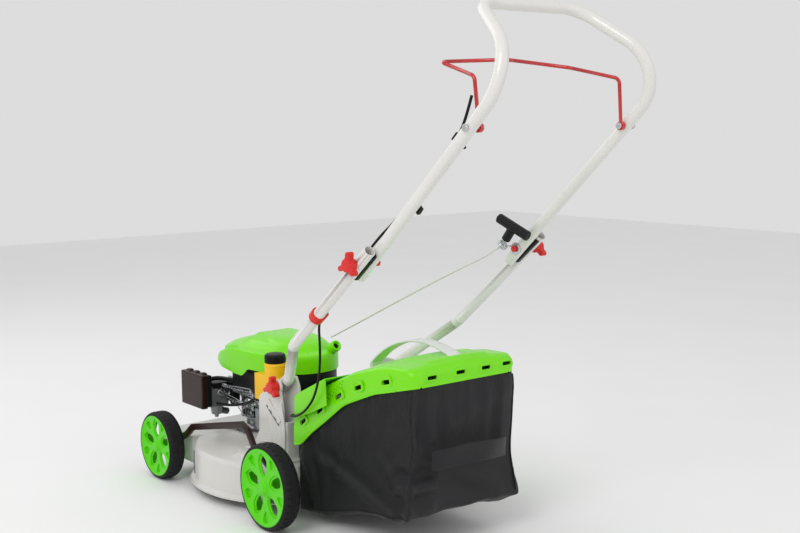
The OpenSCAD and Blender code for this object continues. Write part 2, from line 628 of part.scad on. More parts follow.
upper_bends = [shoulder_bend, 58, 58, shoulder_bend];
function on_leg(s) = [fold_x + s*leg_dir[0], fold_z + s*leg_dir[2]];
clip_holes = [156, 341];
module upper_handle() color(tube_grey) place() difference() {
    bent_tube(upper_path, upper_bends, tube_r, tube_t);
    cross_pin([fold_x, fold_z], -upper_y - 20, upper_y + 20, knob_bolt_r + run_gap);
    cross_pin(bail_at, -upper_y - 20, upper_y + 20, 3 + run_gap);
    for (s = clip_holes) cross_pin(on_leg(s), -upper_y - 20, -upper_y + 20, 3.2);
}

// Three-lobed wing knob on a bolt along Y: its lobes start at y = 0 and the bolt runs to y = -reach
module wing_knob(reach) {
    rotate([-90, 0, 0]) {
        cylinder(r = 12, h = 20);
        for (k = [0:2]) rotate(120*k + 20) {
            translate([0, -5, 5]) cube([20, 10, 14]);
            translate([20, 0, 5]) cylinder(r = 5, h = 14);
        }
        translate([0, 0, -reach]) cylinder(r = knob_bolt_r, h = reach);
    }
}
nut_gap = slip + 2;
fold_reach = lower_y + tube_r + slip - (upper_y - tube_r) + nut_gap + 7;
module fold_knob() {
    translate([fold_x, lower_y + tube_r + slip, fold_z]) wing_knob(fold_reach);
    translate([fold_x, upper_y - tube_r - nut_gap - 6, fold_z]) rotate([-90, 0, 0]) hex_head(7, 6);
}
module left_fold_knob() color(red) place() fold_knob();
module right_fold_knob() color(red) place() mirror([0, 1, 0]) fold_knob();

module foot_knob() translate([foot_x, plate_out + plate_t + slip, foot_z]) wing_knob(plate_out - plate_in + 2*plate_t + 5);
module left_foot_knob() color(red) place() foot_knob();
module right_foot_knob() color(red) place() mirror([0, 1, 0]) foot_knob();

// Clip that holds the brake cable on the left lower tube
clip_at = elbow + 106*foot_dir;
module cable_clip() color(red) place() difference() {
    union() {
        bar(clip_at - 8*foot_dir, clip_at + 8*foot_dir, tube_r + 4);
        bar(clip_at - [0, 15, 0] - 7*foot_dir, clip_at - [0, 15, 0] + 7*foot_dir, 7);
    }
    bar(clip_at - 20*foot_dir, clip_at + 20*foot_dir, tube_r + run_gap);
    bar(clip_at - [0, 15, 0] - 20*foot_dir, clip_at - [0, 15, 0] + 20*foot_dir, cord_r + 0.4);
}

// Wire eye on the right tube that the starter rope runs through
guide_at = [fold_x + 14, -upper_y + 34, fold_z + 8];
guide_dir = unit([-0.7, -0.2, 0.66]);
guide_side = inward(guide_dir, [0, -1, 0]);
washer_y = -upper_y + tube_r + nut_gap/2;
module rope_guide() color(steel) place() difference() {
    union() {
        for (k = [-1:1]) translate(guide_at) aim(guide_dir) translate([0, 0, 3*k]) rotate_extrude() translate([9, 0]) circle(1.6);
        bar(guide_at + 9*guide_side, [fold_x + 10, washer_y, fold_z + 4], 1.4);
        cross_pin([fold_x, fold_z], washer_y - 0.8, washer_y + 0.8, 13);
    }
    cross_pin([fold_x, fold_z], washer_y - 2, washer_y + 2, knob_bolt_r + run_gap);
}

// Hook for the cable on the left leg, and the stop that holds the cable's end
hook_at = on_leg(312);
module cable_hook() color(black) place() difference() {
    union() {
        translate([hook_at[0], upper_y - tube_r - 4, hook_at[1]]) rotate([0, 43, 0]) translate([-8, 0, 0]) cube([16, 4, 26]);
        cross_pin(hook_at, upper_y - tube_r - 9, upper_y + 6, 3.2 - slip/2);
        translate([hook_at[0] + 15, upper_y - tube_r - 10, hook_at[1] + 15]) sphere(r = 8);
    }
    translate([0, upper_y - tube_r + slip, 0]) cube(eps);
    bar([fold_x, upper_y, fold_z], [fold_x, upper_y, fold_z] + 500*leg_dir, tube_r + 0.1);
}
module cable_stop() color(black) place() {
    s = on_leg(clip_holes[0]);
    translate([s[0], upper_y - tube_r - 8, s[1]]) rotate([0, -43.3, 0]) translate([-10, 0, -7]) cube([20, 7.5, 14]);
}

bail_path = [[bail_at[0], -bail_y, bail_at[1]], [-547, -bail_y, 880], [-520, -70, 898], [-490, 50, 910],
    [-458, bail_y, 905], [-541, bail_y, 879], [bail_at[0], bail_y, bail_at[1]]];
module bail() color(red) place() difference() {
    union() {
        bent_bar(bail_path, [12, 200, 200, 9, 12], bail_r);
        both_sides() cross_pin(bail_at, bail_y - bail_r, bail_y + bail_r, 8);
    }
    cross_pin(bail_at, -upper_y, upper_y, 3 + run_gap);
}
module bail_pins() color(steel) place() both_sides() {
    cross_pin(bail_at, bail_y - bail_r - 4, upper_y + tube_r + 5, 3);
    cross_pin(bail_at, upper_y + tube_r + 0.1, upper_y + tube_r + 5, 6);
    cross_pin(bail_at, bail_y - bail_r - 4, bail_y - bail_r - slip, 6);
}

// T-shaped grip of the starter rope
grip_dir = unit([-0.63, 0, 0.77]);
grip_at = guide_at + 26*grip_dir;
module starter_grip() color(black) place() difference() {
    union() {
        bar(grip_at - 12*grip_dir, grip_at + 16*grip_dir, 9);
        bar(grip_at + 22*grip_dir + [36, 4, 16], grip_at + 22*grip_dir - [36, 4, 16], 10);
    }
    bar(grip_at - 30*grip_dir, grip_at + 12*grip_dir, rope_r + 0.4);
}

/* ---- Cords ---- */

rope_exit = [172, -46, 333];
rope_pts = [rope_exit, [100, -56, 368], [0, -70, 418], [-100, -92, 470], [-190, -118, 517], [-240, -138, 542],
    guide_at + [0, 0, 0], grip_at - 10*grip_dir];
module starter_rope() color("#f0f0ec") place() cord(rope_pts, rope_r, 8);

clip_hold = clip_at - [0, 15, 0];
cable_joint = [fold_x + 6, upper_y - 1, fold_z + 21];
lower_cable = [[30, 133, 213], [25, 152, 216], [14, 170, 219], [-12, 173, 223], [-46, 176, 239], [-86, 181, 271], [-114, 187, 314],
    [-128, 192, 356], [-132, 195, 396], [-131, 196, 424], clip_hold - 14*foot_dir, clip_hold + 14*foot_dir,
    clip_hold + 90*foot_dir, [fold_x + 56, clip_hold[1], fold_z - 34], [fold_x + 38, upper_y + 4, fold_z - 6], cable_joint];
upper_cable = [cable_joint + 0.5*leg_dir, [on_leg(100)[0] + 10, upper_y - 6, on_leg(100)[1] + 11],
    [on_leg(200)[0] + 10, upper_y - 8, on_leg(200)[1] + 10], [hook_at[0] + 11, upper_y - 8, hook_at[1] + 11],
    [on_leg(345)[0] + 12, upper_y - 8, on_leg(345)[1] + 16], [-544, bail_y + 8, 848]];
module brake_cable_lower() color(black) place() cord(lower_cable, cord_r, 8);
module brake_cable_upper() color(black) place() cord(upper_cable, cord_r, 8);

/* ---- Bag and flap ---- */

// Side outline of the cover's top, from the mouth to the back
bag_back = bag_x - bag_len;
// x behind the flap, drawn in or out with the bag's length
function aft(x) = x > -126 ? x : -126 + (x + 126)*(bag_back + 126)/-204;
cover_top = [[16, 242], [-26, 270], [-104, 307.5], [-118, 313], [aft(-163), 334], [aft(-241), 357], [bag_back, 360]];
cover_low = [[bag_back, 326], [aft(-227), 301], [aft(-141), 266], [-84, 223], [-35, 188], [-6, 160], [12, 158]];

// Half of the bag's width at x: wide at the mouth and narrower at the back
function bag_half(x) = bag_rear_w/2 + (x - bag_back)*(bag_front_w - bag_rear_w)/2/bag_len;
module bag_plan(g, x0, x1) translate([0, 0, -50]) linear_extrude(500)
    polygon([[x0, bag_half(x0) - g], [x1 + g, bag_half(x1 + g) - g], [x1 + g, g - bag_half(x1 + g)], [x0, g - bag_half(x0)]]);

carry_feet = [-54, aft(-312)];
carry_w = 30;
module bag_cover() color(green) place() difference() {
    union() {
        intersection() {
            side_plate(concat(cover_top, cover_low), -200, 200);
            bag_plan(0, bag_x + 30, bag_back);
        }
        // Raised middle of the top
        intersection() {
            side_plate([[-118, 309], [-126, 325], [aft(-168), 344], [aft(-243), 367], [bag_back + 18, 370], [bag_back + 14, 354], [aft(-241), 350], [aft(-163), 328]],
                -200, 200);
            bag_plan(20, bag_x, bag_back);
        }
    }
    intersection() {
        translate([0, 0, -cover_t]) side_plate(concat(cover_top, [[bag_back, 100], [bag_x + 20, 100]]), -200, 200);
        bag_plan(cover_t, bag_x + 60, bag_back);
    }
    // Seats of the carry handle
    for (x = carry_feet) translate([x - 5, -carry_w/2 - slip, 250]) cube([10, carry_w + 2*slip, 130]);
    translate([carry_feet[1] - 5, -carry_w/2 - slip, 357.5]) cube([90, carry_w + 2*slip, 20]);
    // Air slots along the lower edge
    both_sides() for (q = air_slots) translate([q[0], 100, q[1]]) cube([16, 80, 5]);
}
air_slots = [[-30, 210], [-62, 234], [-98, 258], [aft(-134), 280], [aft(-176), 298], [aft(-222), 312], [aft(-264), 322], [aft(-302), 332]];

bag_outer = [[-8, bag_low_z], [aft(-170), 56], [bag_back + 10, 76], [bag_back + cover_t + 1, 345], [aft(-270), 338], [aft(-200), 318],
    [aft(-130), 284], [-84, 248], [-44, 222], [bag_x, 200]];
bag_inner = [[bag_x + 20, bag_low_z + 4], [bag_x - 10, bag_low_z + 4], [aft(-170), 60], [bag_back + 16, 82], [bag_back + 8, 339], [aft(-270), 333],
    [aft(-200), 312], [aft(-130), 278], [-84, 242], [-44, 216], [bag_x - 4, 196], [bag_x + 20, 196]];
module grass_bag() color(fabric) place() difference() {
    intersection() {
        side_plate(bag_outer, -200, 200);
        bag_plan(cover_t + slip, bag_x + 30, bag_back);
    }
    intersection() {
        side_plate(bag_inner, -200, 200);
        bag_plan(cover_t + slip + 3, bag_x + 60, bag_back + 5);
    }
}

// Arched grip strap with a leg at each end
carry_mid = [-215, 150];
carry_r = 235;
module carry_disc(r, y) cross_pin(carry_mid, -y, y, r, $fn = 96);
module carry_handle() color(clear_white) place() {
    difference() {
        intersection() {
            carry_disc(carry_r, carry_w/2);
            translate([carry_feet[1] - 4, -carry_w/2, 300]) cube([carry_feet[0] - carry_feet[1] + 8, carry_w, 120]);
        }
        carry_disc(carry_r - 4, carry_w/2 + 1);
    }
    intersection() {
        carry_disc(carry_r, carry_w/2);
        union() {
            translate([carry_feet[0] - 4, -carry_w/2, 276]) cube([8, carry_w, 60]);
            translate([carry_feet[1] - 4, -carry_w/2, 352]) cube([8, carry_w, 60]);
        }
    }
}

// Sprung hood that closes the chute when the bag is off
flap_y = bag_front_w/2 + 6;
flap_t = 2.5;
flap_line = [[28, 254.5], [16, 252.5], [-26, 274.5], [-104, 312]];
flap_side = [[16, 254], [-26, 276.5], [-104, 314], [-108, 262], [-60, 240], [-20, 224], [14, 212]];
module discharge_flap() color(green) place() difference() {
    union() {
        side_plate(concat(flap_line, [for (i = [3:-1:0]) flap_line[i] + [0, flap_t]]), -flap_y, flap_y);
        both_sides() side_plate(flap_side, flap_y - flap_t, flap_y);
        both_sides() cross_pin(flap_axis, chute_y - 7, chute_y + 9, 7);
        both_sides() translate([flap_axis[0] - 4, chute_y - 7, flap_axis[1]]) cube([8, 16, 9]);
    }
    cross_pin(flap_axis, -flap_y - 1, flap_y + 1, 3 + run_gap);
    // Room for the carry handle's front leg and for the brackets
    translate([-120, -carry_w/2 - 12, 250]) cube([78, carry_w + 24, 80]);
    both_sides() translate([4, chute_y + 9, 200]) cube([40, 60, 80]);
}
module flap_rod() color(steel) place() cross_pin(flap_axis, -chute_y - 10, chute_y + 10, 3);

deck();
rear_chute();
left_bracket();
right_bracket();
side_trim();
deck_bolts();
engine_block();
cylinder_head();
fan_housing();
cowl();
starter_pulley();
muffler();
muffler_guard();
carburettor();
inlet_pipe();
control_plate();
air_filter_base();
air_filter_cover();
fuel_tank();
fuel_cap();
oil_dipstick();
spark_plug();
crankshaft();
flywheel();
blade();
blade_bolt();
rear_axle();
height_lever();
front_axle();
link_bar();
front_left_tyre();
front_left_rim();
front_right_tyre();
front_right_rim();
rear_left_tyre();
rear_left_rim();
rear_right_tyre();
rear_right_rim();
lower_tubes();
tube_spacers();
left_foot_knob();
right_foot_knob();
cable_clip();
rope_guide();
upper_handle();
left_fold_knob();
right_fold_knob();
cable_hook();
cable_stop();
bail();
bail_pins();
starter_grip();
starter_rope();
brake_cable_lower();
brake_cable_upper();
discharge_flap();
flap_rod();
bag_cover();
grass_bag();
carry_handle();
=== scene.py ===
import bpy, json, math
from mathutils import Vector, Matrix, noise

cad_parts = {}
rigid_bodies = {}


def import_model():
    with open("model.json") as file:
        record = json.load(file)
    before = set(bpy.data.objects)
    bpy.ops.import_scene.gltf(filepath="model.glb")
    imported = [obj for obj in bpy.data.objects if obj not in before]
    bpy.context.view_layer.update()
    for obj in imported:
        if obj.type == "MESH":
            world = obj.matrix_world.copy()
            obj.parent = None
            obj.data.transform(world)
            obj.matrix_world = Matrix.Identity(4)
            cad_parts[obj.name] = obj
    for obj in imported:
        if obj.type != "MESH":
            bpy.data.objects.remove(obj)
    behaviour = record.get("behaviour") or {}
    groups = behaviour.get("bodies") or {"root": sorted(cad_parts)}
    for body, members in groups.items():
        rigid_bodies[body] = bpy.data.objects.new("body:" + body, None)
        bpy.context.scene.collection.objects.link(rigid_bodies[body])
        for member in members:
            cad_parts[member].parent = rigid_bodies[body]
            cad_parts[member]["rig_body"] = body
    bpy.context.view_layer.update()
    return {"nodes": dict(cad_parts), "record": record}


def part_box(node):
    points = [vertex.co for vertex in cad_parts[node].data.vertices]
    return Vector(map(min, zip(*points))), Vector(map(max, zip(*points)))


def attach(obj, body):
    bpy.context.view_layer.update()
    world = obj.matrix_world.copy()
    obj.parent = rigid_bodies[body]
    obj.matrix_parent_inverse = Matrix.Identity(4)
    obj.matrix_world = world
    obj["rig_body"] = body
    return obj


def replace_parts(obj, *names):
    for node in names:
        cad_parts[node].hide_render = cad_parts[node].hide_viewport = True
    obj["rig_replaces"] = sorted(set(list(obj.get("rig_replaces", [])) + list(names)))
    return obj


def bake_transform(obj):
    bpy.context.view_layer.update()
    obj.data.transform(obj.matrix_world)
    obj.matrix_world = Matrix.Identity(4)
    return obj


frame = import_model()
cad = frame["nodes"]
bodyOf = {name: obj["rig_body"] for name, obj in cad.items()}
slotOf = {s["node"]: s["material_slot"] for s in frame["record"]["subparts"]}
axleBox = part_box("rear_left_tyre")
shift = (axleBox[0].x + axleBox[1].x) / 2
context = bpy.context


def at(x, y, z):  # a place on the mower, in mm from the rear axle and the ground
    return Vector((x / 1000 + shift, y / 1000, z / 1000))


cameraSet = {"place": (-1958.3, 1454.4, 805.9), "yaw": -38.559, "down": 6.923,
             "roll": -0.509, "lens": 53.28}


def makeCamera(s):
    yaw, down, roll = (math.radians(s[k]) for k in ("yaw", "down", "roll"))
    look = Vector((math.cos(yaw) * math.cos(down), math.sin(yaw) * math.cos(down), -math.sin(down)))
    right = look.cross(Vector((0, 0, 1))).normalized()
    up = right.cross(look)
    r = math.cos(roll) * right + math.sin(roll) * up
    u = math.cos(roll) * up - math.sin(roll) * right
    data = bpy.data.cameras.new("camera")
    data.lens = s["lens"]
    data.sensor_width = 36
    cam = bpy.data.objects.new("camera", data)
    context.scene.collection.objects.link(cam)
    turn = Matrix((r, u, -look)).transposed()
    cam.matrix_world = Matrix.Translation(at(*s["place"])) @ turn.to_4x4()
    context.scene.camera = cam


makeCamera(cameraSet)


def clearPick():
    if context.object and context.object.mode != "OBJECT":
        bpy.ops.object.mode_set(mode="OBJECT")
    bpy.ops.object.select_all(action="DESELECT")


def pick(obj):
    clearPick()
    obj.select_set(True)
    context.view_layer.objects.active = obj


def made(name):  # the object that the last operator added
    obj = context.object
    obj.name = name
    obj.data.name = name
    return obj


lightSet = {
    "key": {"place": (-1.2, 2.4, 2.6), "size": 1.6, "power": 36},
    "fill": {"place": (-2.8, -1.2, 1.5), "size": 2.4, "power": 9},
    "back": {"place": (2.2, 0.6, 2.4), "size": 2.0, "power": 14},
    "aim": 0.35, "sky": 0.72, "floor": 12}


def makeStage(s):
    for name in ("key", "fill", "back"):
        data = bpy.data.lights.new(name, "AREA")
        data.size = s[name]["size"]
        data.energy = s[name]["power"]
        lamp = bpy.data.objects.new(name, data)
        lamp.location = s[name]["place"]
        aim = Vector((0, 0, s["aim"])) - Vector(s[name]["place"])
        lamp.rotation_euler = aim.to_track_quat("-Z", "Y").to_euler()
        context.scene.collection.objects.link(lamp)
    world = bpy.data.worlds.new("sky")
    world.use_nodes = True
    world.node_tree.nodes["Background"].inputs["Color"].default_value = (1, 1, 1, 1)
    world.node_tree.nodes["Background"].inputs["Strength"].default_value = s["sky"]
    context.scene.world = world
    context.scene.view_settings.view_transform = "Standard"
    clearPick()
    bpy.ops.mesh.primitive_plane_add(size=s["floor"], location=(0, 0, 0))
    floor = made("floor")
    return floor


floor = makeStage(lightSet)
print("camera and stage ready")


class Value:  # one node's output, with maths written as expressions
    def __init__(self, finish, socket):
        self.finish, self.socket = finish, socket

    def maths(self, operation, other, swapped=False):
        pair = (other, self) if swapped else (self, other)
        return self.finish.node("ShaderNodeMath", {"operation": operation},
                                {0: pair[0], 1: pair[1]})

    def __add__(self, o): return self.maths("ADD", o)
    def __radd__(self, o): return self.maths("ADD", o)
    def __sub__(self, o): return self.maths("SUBTRACT", o)
    def __rsub__(self, o): return self.maths("SUBTRACT", o, True)
    def __mul__(self, o): return self.maths("MULTIPLY", o)
    def __rmul__(self, o): return self.maths("MULTIPLY", o)


class Finish:
    def __init__(self, name):
        self.mat = bpy.data.materials.new(name)
        self.mat.use_nodes = True
        self.tree = self.mat.node_tree
        self.tree.nodes.clear()
        self.shader = self.tree.nodes.new("ShaderNodeBsdfPrincipled")
        end = self.tree.nodes.new("ShaderNodeOutputMaterial")
        self.tree.links.new(self.shader.outputs[0], end.inputs["Surface"])
        self.place = self.node("ShaderNodeTexCoord", {}, {}, "Object")

    def node(self, kind, settings, values, out=0):
        n = self.tree.nodes.new(kind)
        for key, value in settings.items():
            if key == "stops":
                while len(n.color_ramp.elements) < len(value):
                    n.color_ramp.elements.new(0.5)
                for e, (where, colour) in zip(n.color_ramp.elements, value):
                    e.position, e.color = where, (*colour, 1)
            else:
                setattr(n, key, value)
        for key, value in values.items():
            if isinstance(value, Value):
                self.tree.links.new(value.socket, n.inputs[key])
            else:
                n.inputs[key].default_value = value
        return Value(self, n.outputs[out])

    def set(self, **values):
        for key, value in values.items():
            key = key.replace("_", " ")
            if isinstance(value, Value):
                self.tree.links.new(value.socket, self.shader.inputs[key])
            else:
                self.shader.inputs[key].default_value = value

    def speckle(self, scale, detail=4, rough=0.55, stretch=(1, 1, 1)):
        where = self.node("ShaderNodeMapping", {}, {"Vector": self.place, "Scale": stretch})
        return self.node("ShaderNodeTexNoise", {},
                         {"Vector": where, "Scale": scale, "Detail": detail, "Roughness": rough})

    def tint(self, mask, low, high):
        return self.node("ShaderNodeMix", {"data_type": "RGBA"},
                         {0: mask, 6: (*low, 1), 7: (*high, 1)}, 2)

    def bump(self, height, distance, strength=1.0):
        return self.node("ShaderNodeBump", {},
                         {"Height": height, "Distance": distance, "Strength": strength})

    def axis(self, k):
        return self.node("ShaderNodeSeparateXYZ", {}, {0: self.place}, k)

    def wave(self, phase):
        return self.node("ShaderNodeMath", {"operation": "SINE"}, {0: phase})


def shade(colour, k):
    return tuple(min(1, c * k) for c in colour)


def plastic(name, colour, rough, grain=0.00006, grainScale=900, coat=0.0, spread=0.1,
            shine=0.5):
    f = Finish(name)
    cloud = f.speckle(9, 5)
    fine = f.speckle(grainScale, 2)
    scuff = f.speckle(60, 6, 0.7, (1, 1, 3))
    f.set(Base_Color=f.tint(cloud, shade(colour, 1 - spread), shade(colour, 1 + spread)),
          Roughness=rough + (scuff - 0.5) * 0.16 + (fine - 0.5) * 0.08,
          Normal=f.bump(fine, grain), Coat_Weight=coat, Coat_Roughness=0.12, IOR=1.48,
          Specular_IOR_Level=shine)
    return f.mat


def paint(name, colour, rough, coat=0.35, peel=0.00005):
    f = Finish(name)
    cloud = f.speckle(6, 4)
    skin = f.speckle(260, 2)
    dust = f.speckle(38, 7, 0.75)
    f.set(Base_Color=f.tint(cloud, shade(colour, 0.94), shade(colour, 1.04)),
          Roughness=rough + (dust - 0.5) * 0.2, Normal=f.bump(skin, peel),
          Coat_Weight=coat, Coat_Roughness=0.15)
    return f.mat


def metal(name, colour, rough, stretch=(1, 1, 14), cast=0.0):
    f = Finish(name)
    lines = f.speckle(260, 4, 0.6, stretch)
    cloud = f.speckle(22, 6)
    pits = f.speckle(480, 3)
    f.set(Base_Color=f.tint(cloud, shade(colour, 0.72), shade(colour, 1.1)),
          Metallic=1.0 if cast == 0 else 0.75,
          Roughness=rough + (lines - 0.5) * 0.25 + (cloud - 0.5) * 0.15,
          Normal=f.bump(lines * (1 - cast) + pits * cast, 0.00005 + 0.00018 * cast))
    return f.mat


def tyreRubber():
    f = Finish("tyreRubber")
    cloud = f.speckle(14, 5)
    fine = f.speckle(700, 3)
    f.set(Base_Color=f.tint(cloud, (0.007, 0.007, 0.008), (0.018, 0.018, 0.02)),
          Roughness=0.62 + (cloud - 0.5) * 0.25, Normal=f.bump(fine, 0.0001),
          Specular_IOR_Level=0.22)
    return f.mat


clothSet = {"thread": 0.0011, "low": (0.0030, 0.0026, 0.0040),
            "high": (0.0085, 0.0076, 0.0105), "rough": 0.36}


def bagCloth(s):
    f = Finish("bagCloth")
    k = 2 * math.pi / s["thread"]
    warp = f.wave((f.axis(0) + f.axis(1)) * k)
    weft = f.wave(f.axis(2) * k)
    weave = warp * weft
    cloud = f.speckle(7, 6)
    dust = f.speckle(90, 5, 0.7)
    f.set(Base_Color=f.tint(cloud * 0.7 + dust * 0.3 + weave * 0.06, s["low"], s["high"]),
          Roughness=s["rough"] + (cloud - 0.5) * 0.2 + weave * 0.05,
          Normal=f.bump(weave + dust * 0.6, 0.00012),
          Sheen_Weight=0.02, Specular_IOR_Level=0.34)
    return f.mat


def ropeFibre():
    f = Finish("ropeFibre")
    twist = f.wave((f.axis(0) * 0.9 + f.axis(1) * 1.6 + f.axis(2)) * 2600.0)
    fuzz = f.speckle(900, 4)
    f.set(Base_Color=f.tint(twist * 0.4 + 0.5, (0.5, 0.5, 0.47), (0.86, 0.86, 0.83)),
          Roughness=0.7 + (fuzz - 0.5) * 0.2, Normal=f.bump(twist + fuzz * 0.5, 0.0002))
    return f.mat


def clearPlastic():
    f = Finish("clearPlastic")
    cloud = f.speckle(12, 4)
    fine = f.speckle(500, 2)
    f.set(Base_Color=f.tint(cloud, (0.66, 0.7, 0.64), (0.84, 0.86, 0.82)),
          Roughness=0.28 + (cloud - 0.5) * 0.16, Normal=f.bump(fine, 0.00004),
          Alpha=0.93 + (cloud - 0.5) * 0.06, Coat_Weight=0.3)
    return f.mat


def floorPaper():
    f = Finish("floorPaper")
    cloud = f.speckle(3, 3)
    f.set(Base_Color=f.tint(cloud, (0.86, 0.86, 0.86), (0.9, 0.9, 0.9)),
          Roughness=0.7 + (cloud - 0.5) * 0.05)
    return f.mat


finishes = {
    "green": plastic("leafGreen", (0.19, 0.74, 0.001), 0.3, coat=0.12, spread=0.05, shine=0.35),
    "wheel_green": plastic("wheelGreen", (0.1, 0.66, 0.002), 0.36, spread=0.07, shine=0.3),
    "yellow": plastic("tankYellow", (0.95, 0.52, 0.003), 0.38, spread=0.07),
    "red": paint("bailRed", (0.55, 0.008, 0.008), 0.26, coat=0.6),
    "red_plastic": plastic("knobRed", (0.68, 0.012, 0.008), 0.3, spread=0.08),
    "deck_paint": paint("deckPaint", (0.66, 0.65, 0.62), 0.36, coat=0.3),
    "handle_paint": paint("handlePaint", (0.74, 0.73, 0.7), 0.3, coat=0.4),
    "black": plastic("blackPlastic", (0.006, 0.006, 0.007), 0.4, spread=0.25, shine=0.25),
    # near-black with a brown tint: the part is black, and the brown is a painted reflection
    "brown_black": plastic("blackWithPaintedBrownReflection", (0.02, 0.0055, 0.004), 0.34, spread=0.25, shine=0.3),
    "steel": metal("brightSteel", (0.62, 0.63, 0.65), 0.26),
    "dark_steel": metal("darkSteel", (0.2, 0.21, 0.22), 0.38),
    "cast": metal("castMetal", (0.4, 0.41, 0.42), 0.45, cast=0.8),
    "tyre": tyreRubber(),
    "fabric": bagCloth(clothSet),
    "clear_white": clearPlastic(),
    "cord_white": ropeFibre(),
    "cable": plastic("cableSkin", (0.005, 0.005, 0.006), 0.36, spread=0.3, shine=0.25)}
floor.data.materials.append(floorPaper())
print("finishes ready")


def dress(obj, slot, body, *replaced):  # body is None where a piece runs between two bodies; it is then left unattached
    obj.data.materials.clear()
    obj.data.materials.append(finishes[slot])
    if body:
        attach(obj, body)
    if replaced:
        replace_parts(obj, *replaced)
    return obj


def applyAll(obj):
    pick(obj)
    for m in list(obj.modifiers):
        bpy.ops.object.modifier_apply(modifier=m.name)


def smooth(obj, angle=35):
    pick(obj)
    bpy.ops.object.shade_smooth_by_angle(angle=math.radians(angle))


def edit(obj):
    pick(obj)
    bpy.ops.object.mode_set(mode="EDIT")
    bpy.ops.mesh.select_all(action="SELECT")


def done():
    bpy.ops.object.mode_set(mode="OBJECT")


def twin(node, name):  # a merged copy of a CAD node's shape
    pick(cad[node])
    bpy.ops.object.duplicate()
    obj = made(name)
    for key in list(obj.keys()):
        if key.startswith("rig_"):
            del obj[key]
    obj.parent = None
    obj.matrix_world = Matrix.Identity(4)
    edit(obj)
    bpy.ops.mesh.remove_doubles(threshold=0.00001)
    done()
    return obj


def softened(node, width=0.0008, segments=2):  # the CAD shape with its hard edges broken
    obj = twin(node, node + "Soft")
    if width > 0:
        edit(obj)
        bpy.ops.mesh.dissolve_limited(angle_limit=math.radians(0.6))
        done()
        m = obj.modifiers.new("edges", "BEVEL")
        m.width, m.segments = width, segments
        m.limit_method, m.angle_limit = "ANGLE", math.radians(32)
        m.use_clamp_overlap = True
        applyAll(obj)
    smooth(obj, 34)
    return dress(obj, slotOf[node], bodyOf[node], node)


def moulded(node, voxel=0.0012, rounds=6, keep=0.5):  # the CAD shape with round edges
    obj = twin(node, node + "Moulded")
    m = obj.modifiers.new("grain", "REMESH")
    m.mode, m.voxel_size = "VOXEL", voxel
    m = obj.modifiers.new("rounding", "SMOOTH")
    m.factor, m.iterations = 0.5, rounds
    m = obj.modifiers.new("lighter", "DECIMATE")
    m.ratio = keep
    applyAll(obj)
    pick(obj)
    bpy.ops.object.shade_smooth()
    return dress(obj, slotOf[node], bodyOf[node], node)


# a smooth round bar along points
def tube(name, points, radius, slot, body, sides=12, fine=6, replaced=()):
    data = bpy.data.curves.new(name, "CURVE")
    data.dimensions = "3D"
    data.bevel_depth, data.bevel_resolution = radius, max(1, sides // 4)
    data.use_fill_caps = True
    data.resolution_u = fine
    line = data.splines.new("NURBS")
    line.points.add(len(points) - 1)
    for p, q in zip(line.points, points):
        p.co = (*q, 1)
    line.use_endpoint_u = True
    line.order_u = 3
    obj = bpy.data.objects.new(name, data)
    context.scene.collection.objects.link(obj)
    pick(obj)
    bpy.ops.object.convert(target="MESH")
    obj = context.object
    bpy.ops.object.shade_smooth()
    return dress(obj, slot, body, *replaced)


def shell(name, across, along, place, wrap=False):  # a grid whose points are put in place
    clearPick()
    bpy.ops.mesh.primitive_grid_add(x_subdivisions=across, y_subdivisions=along, size=2)
    obj = made(name)
    for v in obj.data.vertices:
        v.co = place((v.co.x + 1) / 2, (v.co.y + 1) / 2)
    if wrap:
        edit(obj)
        bpy.ops.mesh.remove_doubles(threshold=0.00002)
        done()
    edit(obj)
    bpy.ops.mesh.normals_make_consistent(inside=False)
    done()
    return obj


ropeSet = {"radius": 0.0016,
           "route": [(172, -46, 333), (100, -56, 368), (0, -70, 418), (-100, -92, 470),
                     (-190, -118, 517), (-240, -138, 542), (-268, -152, 565)],
           "tail": (-1, 4, 9, 14, 19, 24, 30)}
cableSet = {"radius": 0.0025,
            "low": [(30, 133, 213), (25, 152, 216), (14, 170, 219), (-12, 173, 223),
                    (-46, 176, 239), (-86, 181, 271), (-114, 187, 314), (-128, 192, 356),
                    (-132, 195, 396), (-131, 196, 424)],
            "onLeg": [(100, 10.5, 180), (200, 10, 178), (312, 11, 178), (345, 13, 178)],
            "hook": (-544, 178, 848)}
foldAt, lowerY = (-282, 557), 211.3
footDir = Vector((-0.7723, 0, 0.6352))
gripDir = Vector((-0.6332, 0, 0.774))
legDir = Vector((-0.744, 0, 0.6682))
clipAt = Vector((-68, lowerY, 381)) + 106 * footDir
hold = clipAt - Vector((0, 15, 0))


